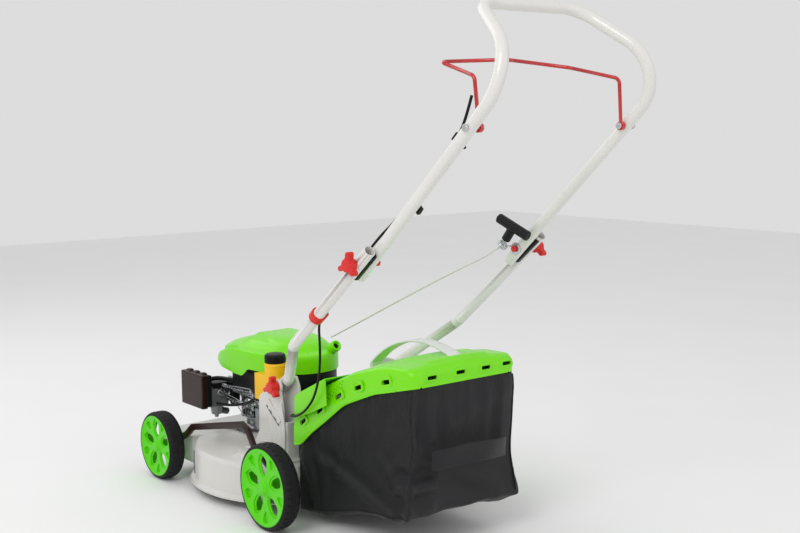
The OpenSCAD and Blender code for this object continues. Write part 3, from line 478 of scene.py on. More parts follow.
def makeCords():
    rope = tube("ropeRun", [at(*p) for p in ropeSet["route"]], ropeSet["radius"],
                "cord_white", None, 8, 8, ("starter_rope",))
    tuple(at(60, -62, 388))
    tuple(at(-180, -114, 512))
    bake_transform(rope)
    guide = Vector(ropeSet["route"][-1])
    tail = [at(*(guide + k * gripDir)) for k in ropeSet["tail"]]
    end = tube("ropeTail", tail, ropeSet["radius"], "cord_white", None, 8, 8)
    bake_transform(end)
    joint = Vector((foldAt[0] + 6, 185, foldAt[1] + 21))
    low = cableSet["low"] + [tuple(hold + k * footDir) for k in (-14, 0, 14, 50, 90)]
    low += [(foldAt[0] + 56, hold.y, foldAt[1] - 34), (foldAt[0] + 38, 190, foldAt[1] - 6),
            tuple(joint)]
    cable = tube("cableLow", [at(*p) for p in low], cableSet["radius"], "cable", None, 12, 6,
                 ("brake_cable_lower",))
    tuple(at(-46, 176, 239))
    tuple(at(-132, 195, 396))
    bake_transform(cable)

    def onLeg(s, out, y):
        p = Vector((foldAt[0], 0, foldAt[1])) + s * legDir
        return (p.x + out, y, p.z + out)
    high = [tuple(joint + 0.5 * legDir), tuple(joint + 40 * legDir)]
    high += [onLeg(*p) for p in cableSet["onLeg"]] + [cableSet["hook"]]
    tube("cableHigh", [at(*p) for p in high], cableSet["radius"], "cable", "upper_handle",
         12, 8, ("brake_cable_upper",))


makeCords()
print("cords ready")


loopSet = {"legY": 186, "shoulder": (-654, 186, 891.1), "top": (-494, 118, 1002), "lap": 42,
           "bends": (78, 58, 58, 78), "radius": 11, "wall": 0.0015}


def bent(points, radii, step=4):  # the points with each inner corner turned into an arc
    pts = [Vector(p) for p in points]
    out = [pts[0]]
    for k, r in enumerate(radii):
        a, b, c = pts[k:k + 3]
        u, v = (b - a).normalized(), (c - b).normalized()
        turn = u.angle(v)
        start = b - u * r * math.tan(turn / 2)
        axis = u.cross(v).normalized()
        inward = axis.cross(u)
        count = max(3, int(math.degrees(turn) / step))
        for i in range(count + 1):
            t = turn * i / count
            out.append(start + inward * r + r * (math.sin(t) * u - math.cos(t) * inward))
    return out + [pts[-1]]


def makeLoop(s):
    foot = Vector((foldAt[0], s["legY"], foldAt[1])) - s["lap"] * legDir
    left = [foot, Vector(s["shoulder"]), Vector(s["top"])]
    route = left + [Vector((p.x, -p.y, p.z)) for p in reversed(left)]
    route = bent(route, s["bends"])
    data = bpy.data.curves.new("handleLoop", "CURVE")
    data.dimensions = "3D"
    data.bevel_depth, data.bevel_resolution = s["radius"] / 1000, 8
    run = data.splines.new("POLY")
    run.points.add(len(route) - 1)
    for p, q in zip(run.points, route):
        p.co = (*at(*q), 1)
    loop = bpy.data.objects.new("handleLoop", data)
    context.scene.collection.objects.link(loop)
    pick(loop)
    bpy.ops.object.convert(target="MESH")
    loop = context.object
    m = loop.modifiers.new("wall", "SOLIDIFY")
    m.thickness, m.offset = s["wall"], -1
    applyAll(loop)
    smooth(loop, 40)
    dress(loop, "handle_paint", "upper_handle", "upper_handle")


makeLoop(loopSet)
print("handle loop ready")

wheelSet = {"radius": 87.5, "centre": (0, 87.5), "frontRadius": 77, "frontCentre": (458, 77),
            "inner": 212, "spokes": 5, "turned": 13}


def lathe(name, profile, steps):  # a closed outline of (radius, y), turned round the y axis, in mm
    clearPick()
    bpy.ops.mesh.primitive_circle_add(vertices=len(profile), radius=0.01)
    obj = made(name)
    for v, (r, y) in zip(obj.data.vertices, profile):
        v.co = Vector((r, y, 0)) / 1000
    edit(obj)
    bpy.ops.mesh.spin(steps=steps, angle=2 * math.pi, center=(0, 0, 0), axis=(0, 1, 0),
                      dupli=False)
    bpy.ops.mesh.select_all(action="SELECT")
    bpy.ops.mesh.remove_doubles(threshold=0.00003)
    bpy.ops.mesh.normals_make_consistent(inside=False)
    done()
    return obj


def prism(name, outline, low, high):  # an outline in x and z, in mm, from y = low to y = high
    clearPick()
    bpy.ops.mesh.primitive_circle_add(vertices=len(outline), radius=0.01, fill_type="NGON")
    obj = made(name)
    for v, (x, z) in zip(obj.data.vertices, outline):
        v.co = Vector((x, low, z)) / 1000
    edit(obj)
    bpy.ops.mesh.extrude_region_move(TRANSFORM_OT_translate={"value": (0, (high - low) / 1000, 0)})
    bpy.ops.mesh.select_all(action="SELECT")
    bpy.ops.mesh.normals_make_consistent(inside=False)
    done()
    return obj


def cutWith(obj, cutters):
    for c in cutters:
        m = obj.modifiers.new("cut", "BOOLEAN")
        m.operation, m.solver, m.object = "DIFFERENCE", "EXACT", c
        applyAll(obj)
        bpy.data.objects.remove(c)


def turnAboutY(points, degrees):
    a = math.radians(degrees)
    c, d = math.cos(a), math.sin(a)
    return [(x * c - z * d, x * d + z * c) for x, z in points]


def roundPoly(points, k=4):  # the outline with its corners cut round
    out = []
    for i, p in enumerate(points):
        a, b = Vector(points[i - 1]), Vector(points[(i + 1) % len(points)])
        p = Vector(p)
        u, v = (a - p), (b - p)
        reach = min(u.length, v.length) * 0.32
        s, e = p + u.normalized() * reach, p + v.normalized() * reach
        for j in range(k + 1):
            t = j / k
            out.append(tuple((1 - t) ** 2 * s + 2 * t * (1 - t) * p + t * t * e))
    return out


def makeDisc(s):
    disc = lathe("disc", [
        (0, 39.4), (5, 39.1), (10, 37.6), (13.6, 34.8), (15.5, 32.6), (19, 31.4), (24, 31.2),
        (60, 32.4), (68, 34), (72.6, 35.8), (74.6, 37.2), (76.4, 37.9), (78.3, 37.6),
        (78.45, 36), (78.45, 1), (77.6, 0.4), (75.6, 1), (75.4, 27), (72, 28.4), (24, 26),
        (15, 25), (14, 2.4), (13, 1.8), (6.6, 1.8), (6.2, 2.4), (6.2, 33), (0, 33)], 96)
    recess = roundPoly([(17.5, 0), (30, 13.5), (55, 16.5), (71.5, 0), (55, -16.5), (30, -13.5)])
    window = roundPoly([(22, 0), (32, 9), (54, 11), (66, 0), (54, -11), (32, -9)])
    pocket = roundPoly([(46, 0), (61, 10.5), (71.5, 8), (71.5, -8), (61, -10.5)])
    pitch = 360 / s["spokes"]
    cutters = []
    for name, outline, depth, between in (("recess", recess, 29.4, 0), ("window", window, 10, 0),
                                          ("pocket", pocket, 29.0, pitch / 2)):
        for k in range(s["spokes"]):
            turned = turnAboutY(outline, pitch * k + s["turned"] + between)
            cutters.append(prism(name, turned, depth, 60))
    cutWith(disc, cutters)
    m = disc.modifiers.new("edges", "BEVEL")
    m.width, m.segments = 0.0011, 3
    m.limit_method, m.angle_limit = "ANGLE", math.radians(34)
    applyAll(disc)
    smooth(disc, 40)
    return disc


def makeTyre():
    tyre = lathe("tyreBody", [
        (78.6, 0.8), (80, 0), (82, 0.4), (84.4, 2), (86.2, 4.6), (87.3, 8), (87.5, 12),
        (87.5, 14.6), (86.3, 15.2), (86.3, 16.8), (87.5, 17.4), (87.5, 20.6), (86.3, 21.2),
        (86.3, 22.8), (87.5, 23.4), (87.5, 26), (87.3, 30), (86.2, 33.4), (84.4, 36),
        (82, 37.6), (80, 38), (78.6, 37.2)], 144)
    edit(tyre)
    bpy.ops.mesh.select_all(action="DESELECT")
    done()
    for f in tyre.data.polygons:  # blocks across the shoulders
        r = math.hypot(f.center.x, f.center.z)
        a = math.degrees(math.atan2(f.center.z, f.center.x)) % 360
        y = f.center.y * 1000
        shoulder = 5 < y < 12 or 26 < y < 33
        f.select = 0.0862 < r < 0.0876 and shoulder and int(a / 2.5) % 4 == 0
    pick(tyre)
    bpy.ops.object.mode_set(mode="EDIT")
    bpy.ops.mesh.extrude_region_shrink_fatten(TRANSFORM_OT_shrink_fatten={"value": -0.0011})
    done()
    smooth(tyre, 32)
    return tyre


def placed(source, name, scale, centre, side):  # a copy of a wheel's piece at its axle
    obj = source.copy()
    obj.data = source.data.copy()
    obj.name = name
    context.scene.collection.objects.link(obj)
    turn = Matrix.Identity(4) if side > 0 else Matrix.Rotation(math.pi, 4, "Z")
    spot = at(centre[0], side * wheelSet["inner"], centre[1])
    grow = Matrix.Diagonal((scale, 1, scale, 1))
    obj.data.transform(Matrix.Translation(spot) @ turn @ grow)
    return obj


def makeWheels(s):
    disc, tyre = makeDisc(s), makeTyre()
    small = s["frontRadius"] / s["radius"]
    for end, scale, centre in (("rear", 1, s["centre"]), ("front", small, s["frontCentre"])):
        for side, word in ((1, "left"), (-1, "right")):
            key = f"{end}_{word}"
            dress(placed(disc, key + "Disc", scale, centre, side), "wheel_green",
                  key + "_wheel", key + "_rim")
            dress(placed(tyre, key + "Rubber", scale, centre, side), "tyre",
                  key + "_wheel", key + "_tyre")
    bpy.data.objects.remove(disc)
    bpy.data.objects.remove(tyre)


makeWheels(wheelSet)
print("wheels ready")


# each row is a share of the outline, a rise in mm and a share of the wall's height
cowlSet = {"middle": (313, 0), "half": (167, 104), "rearPower": 2.3, "frontPower": 3.4,
           "wall": 0.0024, "collarAt": (163, -40, 308), "collarTilt": -60,
           "rows": [(1.0, 0, 0), (1.0, 0, 0.4), (0.998, 0, 0.8), (0.99, 0, 0.95),
                    (0.972, 0, 1), (0.945, 1.2, 1), (0.9, 3, 1), (0.868, 4, 1),
                    (0.845, 7.5, 1), (0.815, 13, 1), (0.77, 18.5, 1), (0.7, 23.5, 1),
                    (0.6, 28, 1), (0.47, 30.6, 1), (0.33, 31.6, 1), (0.17, 32, 1), (0, 32, 1)]}


def ease(x, a, b):
    t = max(0, min(1, (x - a) / (b - a)))
    return t * t * (3 - 2 * t)


def cowlPoint(s, u, v):
    rows = s["rows"]
    k = v * (len(rows) - 1)
    i = min(int(k + 1e-6), len(rows) - 2)
    t = k - i
    size, rise, wallPart = (a + (b - a) * t for a, b in zip(rows[i], rows[i + 1]))
    angle = 2 * math.pi * u
    c, d = math.cos(angle), math.sin(angle)
    power = s["frontPower"] if c > 0 else s["rearPower"]
    ex = math.copysign(abs(c) ** (2 / power), c) * s["half"][0]
    mixed = s["rearPower"] + (s["frontPower"] - s["rearPower"]) * ease(c, -0.4, 0.4)
    ey = math.copysign(abs(d) ** (2 / mixed), d) * s["half"][1]
    x, y = s["middle"][0] + ex * size, ey * size
    rear = 1 - ease(x, 333, 349)
    low = 263 - 7 * ease(x, 286, 296) - 12 * ease(x, 298, 304)
    low += 5 * ease(x, 330, 400) + 9 * ease(x, 400, 440)
    shoulder = 303 - 5 * ease(x, 330, 390) - 9 * ease(x, 370, 410) - 27 * ease(x, 400, 470)
    dome = (319 - shoulder) * (1 - min(1, size) ** 3) - 0.8
    z = low + (shoulder - low) * wallPart + rise * rear * 0.97
    if v > 0.4:
        z += dome * (1 - rear)
        inset = 30 * ease(x, 150, 330)
        step = ease(abs(y), 74 - inset, 80 - inset)
        z -= 3.0 * step * rear * ease(rise, 6, 16)
    return at(x, y, min(z, 333.6))


def makeCowl(s):
    cowl = shell("cowlShell", 128, (len(s["rows"]) - 1) * 3,
                 lambda u, v: cowlPoint(s, u, v), True)
    m = cowl.modifiers.new("wall", "SOLIDIFY")
    m.thickness, m.offset = s["wall"], -1
    applyAll(cowl)
    smooth(cowl, 50)
    dress(cowl, "green", "chassis", "cowl")
    spot = Matrix.Translation(at(*s["collarAt"]))
    lean = Matrix.Rotation(math.radians(s["collarTilt"]), 4, "Y")
    lean = lean @ Matrix.Rotation(math.radians(90), 4, "X")
    for name, profile, steps, slot in (
            ("ropeCollar", [(5, 0), (13, 0), (13.4, 4), (12.6, 20), (11.4, 23), (9.6, 23.8),
                            (7.4, 22.4), (5.2, 16)], 48, "green"),
            ("ropeBush", [(1.9, 12), (5.4, 12), (5.4, 19), (4.4, 20.2), (2.6, 20.2),
                          (1.9, 19)], 32, "black")):
        ring = lathe(name, profile, steps)
        ring.data.transform(spot @ lean)
        smooth(ring, 40)
        dress(ring, slot, "chassis")


makeCowl(cowlSet)
print("cowl ready")


coverSet = {"back": -330, "mouth": 16, "corner": 13, "round": 22, "crown": 9, "ledge": 2.2,
            "wall": 0.0026,
            "sideSlots": [(-15, 211, 34), (-68, 243, 33), (-126, 281, 30), (-183, 307, 20),
                          (-259, 329, 14)],
            "backSlots": [(84, 342), (14, 343), (-50, 343), (-104, 344)],
            "top": [(16, 242), (-26, 270), (-104, 307.5), (-118, 313), (-163, 334),
                    (-241, 357), (-300, 360), (-330, 360)],
            "low": [(16, 157), (-6, 160), (-35, 188), (-84, 223), (-141, 266), (-227, 301),
                    (-330, 326)],
            "dots": {"rows": 4, "count": 13, "first": -24, "pitch": 8.6, "slant": 3,
                     "rise": 34, "rowStep": 7.5, "radius": 0.0011, "sides": 8}}


def line(points, x):  # height of a polyline at x
    pts = sorted(points)
    if x <= pts[0][0]:
        return pts[0][1]
    for (x0, z0), (x1, z1) in zip(pts, pts[1:]):
        if x <= x1:
            return z0 + (z1 - z0) * (x - x0) / (x1 - x0)
    return pts[-1][1]


def softLine(points, x, reach=16):  # the same with its corners eased
    return sum(line(points, x + reach * k / 4) for k in range(-4, 5)) / 9


def bagHalf(x):  # half the width of the cloth
    return 138 + (x + 330) * (160 - 138) / 337


def bagHalfCad(x):  # half the width of the rim
    return 131 + (x + 330) * (160 - 131) / 337


# u runs from the mouth to the back and down the back wall, v from the left edge to the right
def coverPoint(s, u, v):
    x = s["mouth"] + (s["back"] - s["mouth"]) * min(1, u / 0.93)
    end = max(0, (u - 0.93) / 0.07)
    d = x - s["back"]
    r = s["round"]
    tuck = r - math.sqrt(max(0, r * r - (r - d) ** 2)) if d < r else 0
    top, low = softLine(s["top"], x), softLine(s["low"], x, 10)
    half = bagHalfCad(x) - tuck
    top -= tuck * 0.7
    if end > 0:
        top = top + (low - top) * end
    c = min(s["corner"], (top - low) * 0.8)
    q = abs(2 * v - 1)  # 1 at the edge, 0 in the middle
    side = 1 if v < 0.5 else -1
    ledge = s["ledge"] if top - c - low > 20 else 0  # a shallow ledge along the side
    if q > 0.72:
        t = (1 - q) / 0.28
        y, z = half - ledge * ease(t, 0.52, 0.62), low + (top - c - low) * t
    elif q > 0.6:
        a = (0.72 - q) / 0.12 * math.pi / 2
        y, z = half - ledge - c * (1 - math.cos(a)), top - c + c * math.sin(a)
    else:
        y = (half - ledge - c) * q / 0.6
        fade = ease(-x, -10, 120) * (1 - 0.5 * ease(-x, 300, 330))
        bulge = s["crown"] * (1 - (q / 0.6) ** 2) * (1 - end) * fade
        ridge = 2.6 * (1 - ease(q, 0.36, 0.41)) * ease(-x, 120, 128)
        ridge *= (1 - ease(-x, 306, 312)) * (1 - end)
        z = top + bulge * 0.75 + ridge
    return at(x, side * y, z)


def makeShadeDots(s, d):  # flat black discs in rows on the sides, painted shade standing in for small dimples
    clearPick()
    bpy.ops.mesh.primitive_circle_add(vertices=d["sides"], radius=d["radius"], fill_type="NGON")
    dots = made("ventShadeDots")
    base = [v.co.copy() for v in dots.data.vertices]
    verts, faces = [], []
    for row in range(d["rows"]):
        for k in range(d["count"]):
            along = d["first"] - d["pitch"] * k
            x, z = along - d["slant"] * row, line(s["low"], along) + d["rise"] + d["rowStep"] * row
            for side in (1, -1):
                out = bagHalfCad(x) - 2.2 + 0.12
                ring = list(range(len(verts), len(verts) + d["sides"]))
                verts += [at(x + b.x * 1000, side * out, z + b.y * 1000) for b in base]
                faces.append(ring if side < 0 else ring[::-1])
    dots.data.clear_geometry()
    dots.data.from_pydata(verts, [], faces)
    # the black of these discs is painted shade for the hollows of the dimples
    dress(dots, "black", "bag")


def makeCover(s):
    cover = shell("coverShell", 110, 72, lambda u, v: coverPoint(s, u, v))
    m = cover.modifiers.new("wall", "SOLIDIFY")
    m.thickness, m.offset = s["wall"], -1
    applyAll(cover)
    pads, slots = [], []
    lean = math.atan2(29, 337)
    padShape = roundPoly([(-19, -9), (19, -9), (15, 12), (-15, 12)], 4)
    cutShape = roundPoly([(-12, -4.2), (12, -4.2), (12, 4.2), (-12, 4.2)], 3)
    for x, z, slope in s["sideSlots"]:
        for side in (1, -1):
            pad = prism("slotPad", padShape, -2.2, 1.0)
            spot = at(x, side * (bagHalfCad(x) - (0.4 if x > -200 else 2.4)), z)
            turn = Matrix.Rotation(-side * lean + (0 if side > 0 else math.pi), 4, "Z")
            turn = turn @ Matrix.Rotation(math.radians(slope * side), 4, "Y")
            pad.data.transform(Matrix.Translation(spot) @ turn)
            pads.append(pad)
        slot = prism("slot", cutShape, -190, 190)
        turn = Matrix.Rotation(math.radians(slope), 4, "Y")
        slot.data.transform(Matrix.Translation(at(x, 0, z)) @ turn)
        slots.append(slot)
    padShape = roundPoly([(-18, -8), (18, -8), (14, 9), (-14, 9)], 4)
    cutShape = roundPoly([(-11, -3.6), (11, -3.6), (11, 3.6), (-11, 3.6)], 3)
    turn = Matrix.Rotation(math.pi / 2, 4, "Z")
    for y, z in s["backSlots"]:
        spot = Matrix.Translation(at(s["back"], y, z))
        pads.append(prism("slotPad", padShape, -2.2, 1.0))
        slots.append(prism("slot", cutShape, -30, 30))
        for piece in (pads[-1], slots[-1]):
            piece.data.transform(spot @ turn)
    for pad in pads:
        m = pad.modifiers.new("edges", "BEVEL")
        m.width, m.segments, m.limit_method = 0.0009, 2, "ANGLE"
        for c in slots:
            m = pad.modifiers.new("cut", "BOOLEAN")
            m.operation, m.solver, m.object = "DIFFERENCE", "EXACT", c
        applyAll(pad)
        smooth(pad, 35)
    pick(pads[0])
    for pad in pads:
        pad.select_set(True)
    bpy.ops.object.join()
    dress(made("slotPads"), "green", "bag")
    cutWith(cover, slots)
    smooth(cover, 38)
    dress(cover, "green", "bag", "bag_cover")
    makeShadeDots(s, s["dots"])
    rim = [at(x, bagHalfCad(x) + 0.2, softLine(s["low"], x, 10) + 1.2)
           for x in range(14, -296, -10)]
    tube("coverRimLeft", rim, 0.0021, "green", "bag", 8, 3)
    tube("coverRimRight", [Vector((p.x, -p.y, p.z)) for p in rim], 0.0021, "green", "bag", 8, 3)


makeCover(coverSet)
print("cover ready")


bagSet = {"cell": 9, "mouth": 2, "back": -324, "depth": 270, "slack": -0.02, "frames": 26,
          "cap": 0.011, "thick": 0.0011, "seed": 11,
          "floorLine": [(4, 26), (-8, 25), (-60, 33), (-170, 57), (-300, 72), (-322, 76)],
          "topLine": [(10, 160), (-6, 163), (-35, 192), (-84, 228), (-141, 270), (-227, 305),
                      (-330, 330)]}


# u goes round from the left side's mouth over the back to the right side, v from the rim down
def bagPoint(s, u, v):
    back, mouth = s["back"], s["mouth"]
    sideLen, backLen = mouth - back, 2 * bagHalf(back)
    d = u * (2 * sideLen + backLen)
    if d < sideLen:
        x, y = mouth - d, 1
    elif d < sideLen + backLen:
        x, y = back, 1 - 2 * (d - sideLen) / backLen
    else:
        x, y = back + (d - sideLen - backLen), -1
    half = bagHalf(x) - 3
    top, low = softLine(s["topLine"], x, 8) + 6, softLine(s["floorLine"], x, 8)
    z = top + (low - top) * v
    yy = half * y
    rimHalf = bagHalfCad(x) - 4.6
    yy = yy + (rimHalf * y - yy) * (1 - ease(v, 0.0, 0.25))
    return at(x, yy, z)


def bagFloor(s, u, v):
    x = s["mouth"] + (s["back"] - s["mouth"]) * u
    return at(x, (bagHalf(x) - 3) * (1 - 2 * v), softLine(s["floorLine"], x, 8))


def drape(bag, s):  # lets the cloth settle between its held rim and mouth
    m = bag.modifiers.new("cloth", "CLOTH")
    c = m.settings
    c.quality = 6
    c.mass = 0.25
    c.tension_stiffness = c.compression_stiffness = 12
    c.shear_stiffness = 6
    c.bending_stiffness = 1.2
    c.shrink_min = s["slack"]
    c.vertex_group_mass = "held"
    c.effector_weights.gravity = 0.8
    m.collision_settings.use_collision = False
    m.point_cache.frame_start, m.point_cache.frame_end = 1, s["frames"]
    for f in range(1, s["frames"] + 1):
        context.scene.frame_set(f)
    applyAll(bag)
    context.scene.frame_set(1)


def hump(d, width):
    return math.exp(-(d / width) ** 2)


def foldCloth(bag):  # folds that the cloth's weight pulls across the near side and the back corner
    for v in bag.data.vertices:
        x, y, z = (v.co.x - shift) * 1000, v.co.y * 1000, v.co.z * 1000
        n = v.normal
        d = (z - (150 + (x + 30) * 0.37)) * 0.94
        w = ease(-x, 20, 70) * (1 - ease(-x, 300, 325)) * (1 if abs(y) > 100 else 0)
        v.co += n * 0.001 * w * (5.5 * hump(d, 11) - 4.5 * hump(d - 22, 16))
        e = math.hypot(x + 300, (z - 128) * 0.8) if y > 60 else 999
        ripple = math.sin(z * 0.13 + x * 0.07 + 2 * math.sin(x * 0.05))
        v.co += n * 0.001 * 8 * hump(e, 46) * ripple
        if y > 60:
            crease = (z - (96 + (x + 322) * 0.9)) * 0.74
            v.co += n * 0.001 * 6 * hump(crease, 9) * ease(-x, 200, 250)
        low = 1 - ease(z, 62, 190)
        hem = ease(-x, 215, 322) * low
        if y < -60:
            v.co.y -= 0.021 * hem * ease(-y, 90, 138)
            v.co.x -= 0.006 * hem * ease(-y, 60, 138)
        elif y > 60:
            v.co.y += 0.005 * hem
        if x < -310:  # slanted folds down the back
            v.co.x -= 0.001 * (4 * hump(z - 150 - y * 0.55, 17) - 3 * hump(z - 118 - y * 0.5, 15)
                               + 3.5 * hump(z - 250 + y * 0.4, 26))


def makeBag(s):
    cell, length = s["cell"], s["mouth"] - s["back"]
    around = int((2 * length + 2 * bagHalf(s["back"])) / cell)
    down = int(s["depth"] / cell)
    sides = shell("bagShell", around, down, lambda u, v: bagPoint(s, u, v))
    base = shell("bagBase", int(length / cell), down, lambda u, v: bagFloor(s, u, v))
    pick(base)
    sides.select_set(True)
    context.view_layer.objects.active = sides
    bpy.ops.object.join()
    bag = context.object
    edit(bag)
    bpy.ops.mesh.remove_doubles(threshold=0.0045)
    bpy.ops.mesh.normals_make_consistent(inside=False)
    done()
    group = bag.vertex_groups.new(name="held")
    for v in bag.data.vertices:
        x = (v.co.x - shift) * 1000
        z = v.co.z * 1000
        rim = softLine(s["topLine"], x, 8)
        weight = 1.0 if z > rim - 2 or x > -7 else 0.0
        group.add([v.index], weight, "REPLACE")
        n = noise.noise_vector(v.co * 14 + Vector((s["seed"], 0, 0)))
        if weight == 0:
            v.co += n * 0.004
    start = [v.co.copy() for v in bag.data.vertices]
    drape(bag, s)
    for v, p in zip(bag.data.vertices, start):
        move = v.co - p
        if move.length > s["cap"]:
            v.co = p + move * (s["cap"] / move.length)
    foldCloth(bag)
    m = bag.modifiers.new("smoother", "SUBSURF")
    m.levels = m.render_levels = 2
    m = bag.modifiers.new("thickness", "SOLIDIFY")
    m.thickness, m.offset = s["thick"], -1
    applyAll(bag)
    pick(bag)
    bpy.ops.object.shade_smooth()
    dress(bag, "fabric", "bag", "grass_bag")
    return bag


bag = makeBag(bagSet)
print("bag ready")


def strapPoint(u, v):
    bow = math.sin(math.pi * u)
    lift = 5 + 15 * bow ** 0.8 + 2 * math.sin(9 * u + 2 * v)
    return at(-331 - lift, 92 - 190 * u, 206 + 6 * bow - 38 * v - 5 * u)


def makeBagTrim(bag):  # the strap that stands off the back, and piping over the seams
    band = shell("backStrap", 40, 6, strapPoint)
    m = band.modifiers.new("thickness", "SOLIDIFY")
    m.thickness = 0.0018
    m = band.modifiers.new("smoother", "SUBSURF")
    m.levels = m.render_levels = 1
    applyAll(band)
    smooth(band, 50)
    dress(band, "fabric", "bag")
    verts = [v.co for v in bag.data.vertices]

    def nearest(p):
        return min(verts, key=lambda q: (q - p).length_squared)
    for side, word in ((1, "Left"), (-1, "Right")):
        away = Vector((-0.0008, side * 0.0008, 0))
        corner = [nearest(at(-324, side * 137, z)) + away for z in range(84, 322, 5)]
        tube("cornerPiping" + word, corner, 0.0016, "fabric", "bag", 8, 3)
        edge = [nearest(at(x, side * (bagHalf(x) - 2), softLine(bagSet["floorLine"], x)))
                for x in range(-6, -322, -6)]
        tube("edgePiping" + word, edge, 0.0017, "fabric", "bag", 8, 3)


makeBagTrim(bag)
print("bag trim ready")

engineSet = {"carb": (460, 86), "plate": (330, 57), "springTurns": 11}


# a moulded or pressed block between two corners, in mm
def block(name, low, high, slot, edge=1.2, body="chassis"):
    clearPick()
    bpy.ops.mesh.primitive_cube_add(size=1)
    obj = made(name)
    a, b = at(*low), at(*high)
    obj.data.transform(Matrix.Translation((a + b) / 2) @ Matrix.Diagonal((*(b - a), 1)))
    edit(obj)
    bpy.ops.mesh.bevel(offset=edge / 1000, segments=3, affect="EDGES")
    done()
    smooth(obj, 40)
    return dress(obj, slot, body)


def rod(name, points, radius, slot, body="chassis", sides=12):
    return tube(name, [at(*p) for p in points], radius / 1000, slot, body, sides, 5)


# a turned piece from start to end; its profile is (radius, share of the length)
def drum(name, start, end, profile, slot, body="chassis", sides=40):
    start, end = at(*start), at(*end)
    axis = end - start
    obj = lathe(name, [(r, share * axis.length * 1000) for r, share in profile], sides)
    turn = Vector((0, 1, 0)).rotation_difference(axis).to_matrix().to_4x4()
    obj.data.transform(Matrix.Translation(start) @ turn)
    smooth(obj, 35)
    return dress(obj, slot, body)


def spring(name, start, end, radius, turns, wire, slot="steel"):
    start, end = Vector(start), Vector(end)
    axis = (end - start).normalized()
    side = axis.orthogonal().normalized()
    other = axis.cross(side)
    count = turns * 10
    points = [tuple(start)]
    for i in range(count + 1):
        swing = math.cos(i * 0.628) * side + math.sin(i * 0.628) * other
        points.append(tuple(start + (end - start) * i / count + radius * swing))
    return rod(name, points + [tuple(end)], wire, slot, sides=6)


boltHead = [(0, 0), (5.2, 0), (5.2, 0.7), (4.6, 1), (0, 1)]


def makeBlocks(cx, cy, px, py):
    for name, low, high, slot, edge in (
            ("carbFlange", (cx - 20, 36, 160), (cx + 20, 42, 208), "cast", 2),
            ("carbTop", (cx - 19, cy - 22, 190), (cx + 19, cy + 18, 203), "black", 2),
            ("carbArm", (cx - 44, cy - 10, 196), (cx - 14, cy - 4, 201), "steel", 1),
            ("carbSpacer", (cx - 34, 40, 150), (cx - 20, 62, 200), "black", 3),
            ("governorPlate", (px - 44, 60, 196), (px + 46, 84, 198.4), "steel", 0.8),
            ("governorArm", (px - 34, 82, 150), (px - 26, 85, 214), "steel", 1),
            ("governorLever", (px - 8, 80, 166), (px + 36, 83, 175), "steel", 1),
            ("brakeArm", (px - 70, 88, 178), (px - 12, 91, 190), "steel", 1),
            ("brakeShoe", (px - 88, 84, 194), (px - 60, 96, 204), "black", 2),
            ("linkTab", (px + 20, 66, 198), (px + 34, 82, 214), "steel", 1),
            ("lowBracket", (px - 30, 60, 122), (px + 14, 74, 146), "dark_steel", 2),
            ("lowClamp", (px - 54, 70, 128), (px - 30, 92, 150), "dark_steel", 2),
            ("deckPlate", (300, 40, 112), (400, 110, 114.5), "steel", 1)):
        block(name, low, high, slot, edge)
    for k in range(5):
        low, high = (px + 4 + 12 * k, py, 130), (px + 8 + 12 * k, py + 3, 188)
        block(f"shieldRib{k}", low, high, "dark_steel", 1)


def makeDrums(cx, cy):
    ring = [(0, 0), (18, 0), (19, 0.3), (19, 0.7), (18, 1), (0, 1)]
    coil = [(0, 0), (7, 0), (8, 0.1), (8, 0.9), (6, 1), (0, 1)]
    choke = [(0, 0), (9, 0), (10, 0.2), (10, 0.6), (7, 0.7), (7, 1), (0, 1)]
    throttle = [(0, 0), (8, 0), (8, 0.8), (6, 1), (0, 1)]
    elbow = [(0, 0), (6, 0), (6.5, 0.5), (6, 1), (0, 1)]
    can = [(0, 0), (20, 0), (25, 0.12), (26, 0.5), (25, 0.88), (20, 1), (0, 1)]
    for name, start, end, profile, slot in (
            ("carbBowlRing", (cx, cy, 144), (cx, cy, 149), ring, "cast"),
            ("carbSolenoid", (cx - 2, cy - 8, 134), (cx - 2, cy - 30, 128), coil, "dark_steel"),
            ("chokeDrum", (cx - 17, cy, 182), (cx - 30, cy, 182), choke, "steel"),
            ("throttleDrum", (cx - 17, cy - 26, 164), (cx - 27, cy - 26, 164), throttle, "black"),
            ("breatherElbow", (cx - 50, 58, 196), (cx - 24, 66, 204), elbow, "black"),
            ("mufflerEnd", (400, -14, 214), (470, -14, 214), can, "cast")):
        drum(name, start, end, profile, slot)


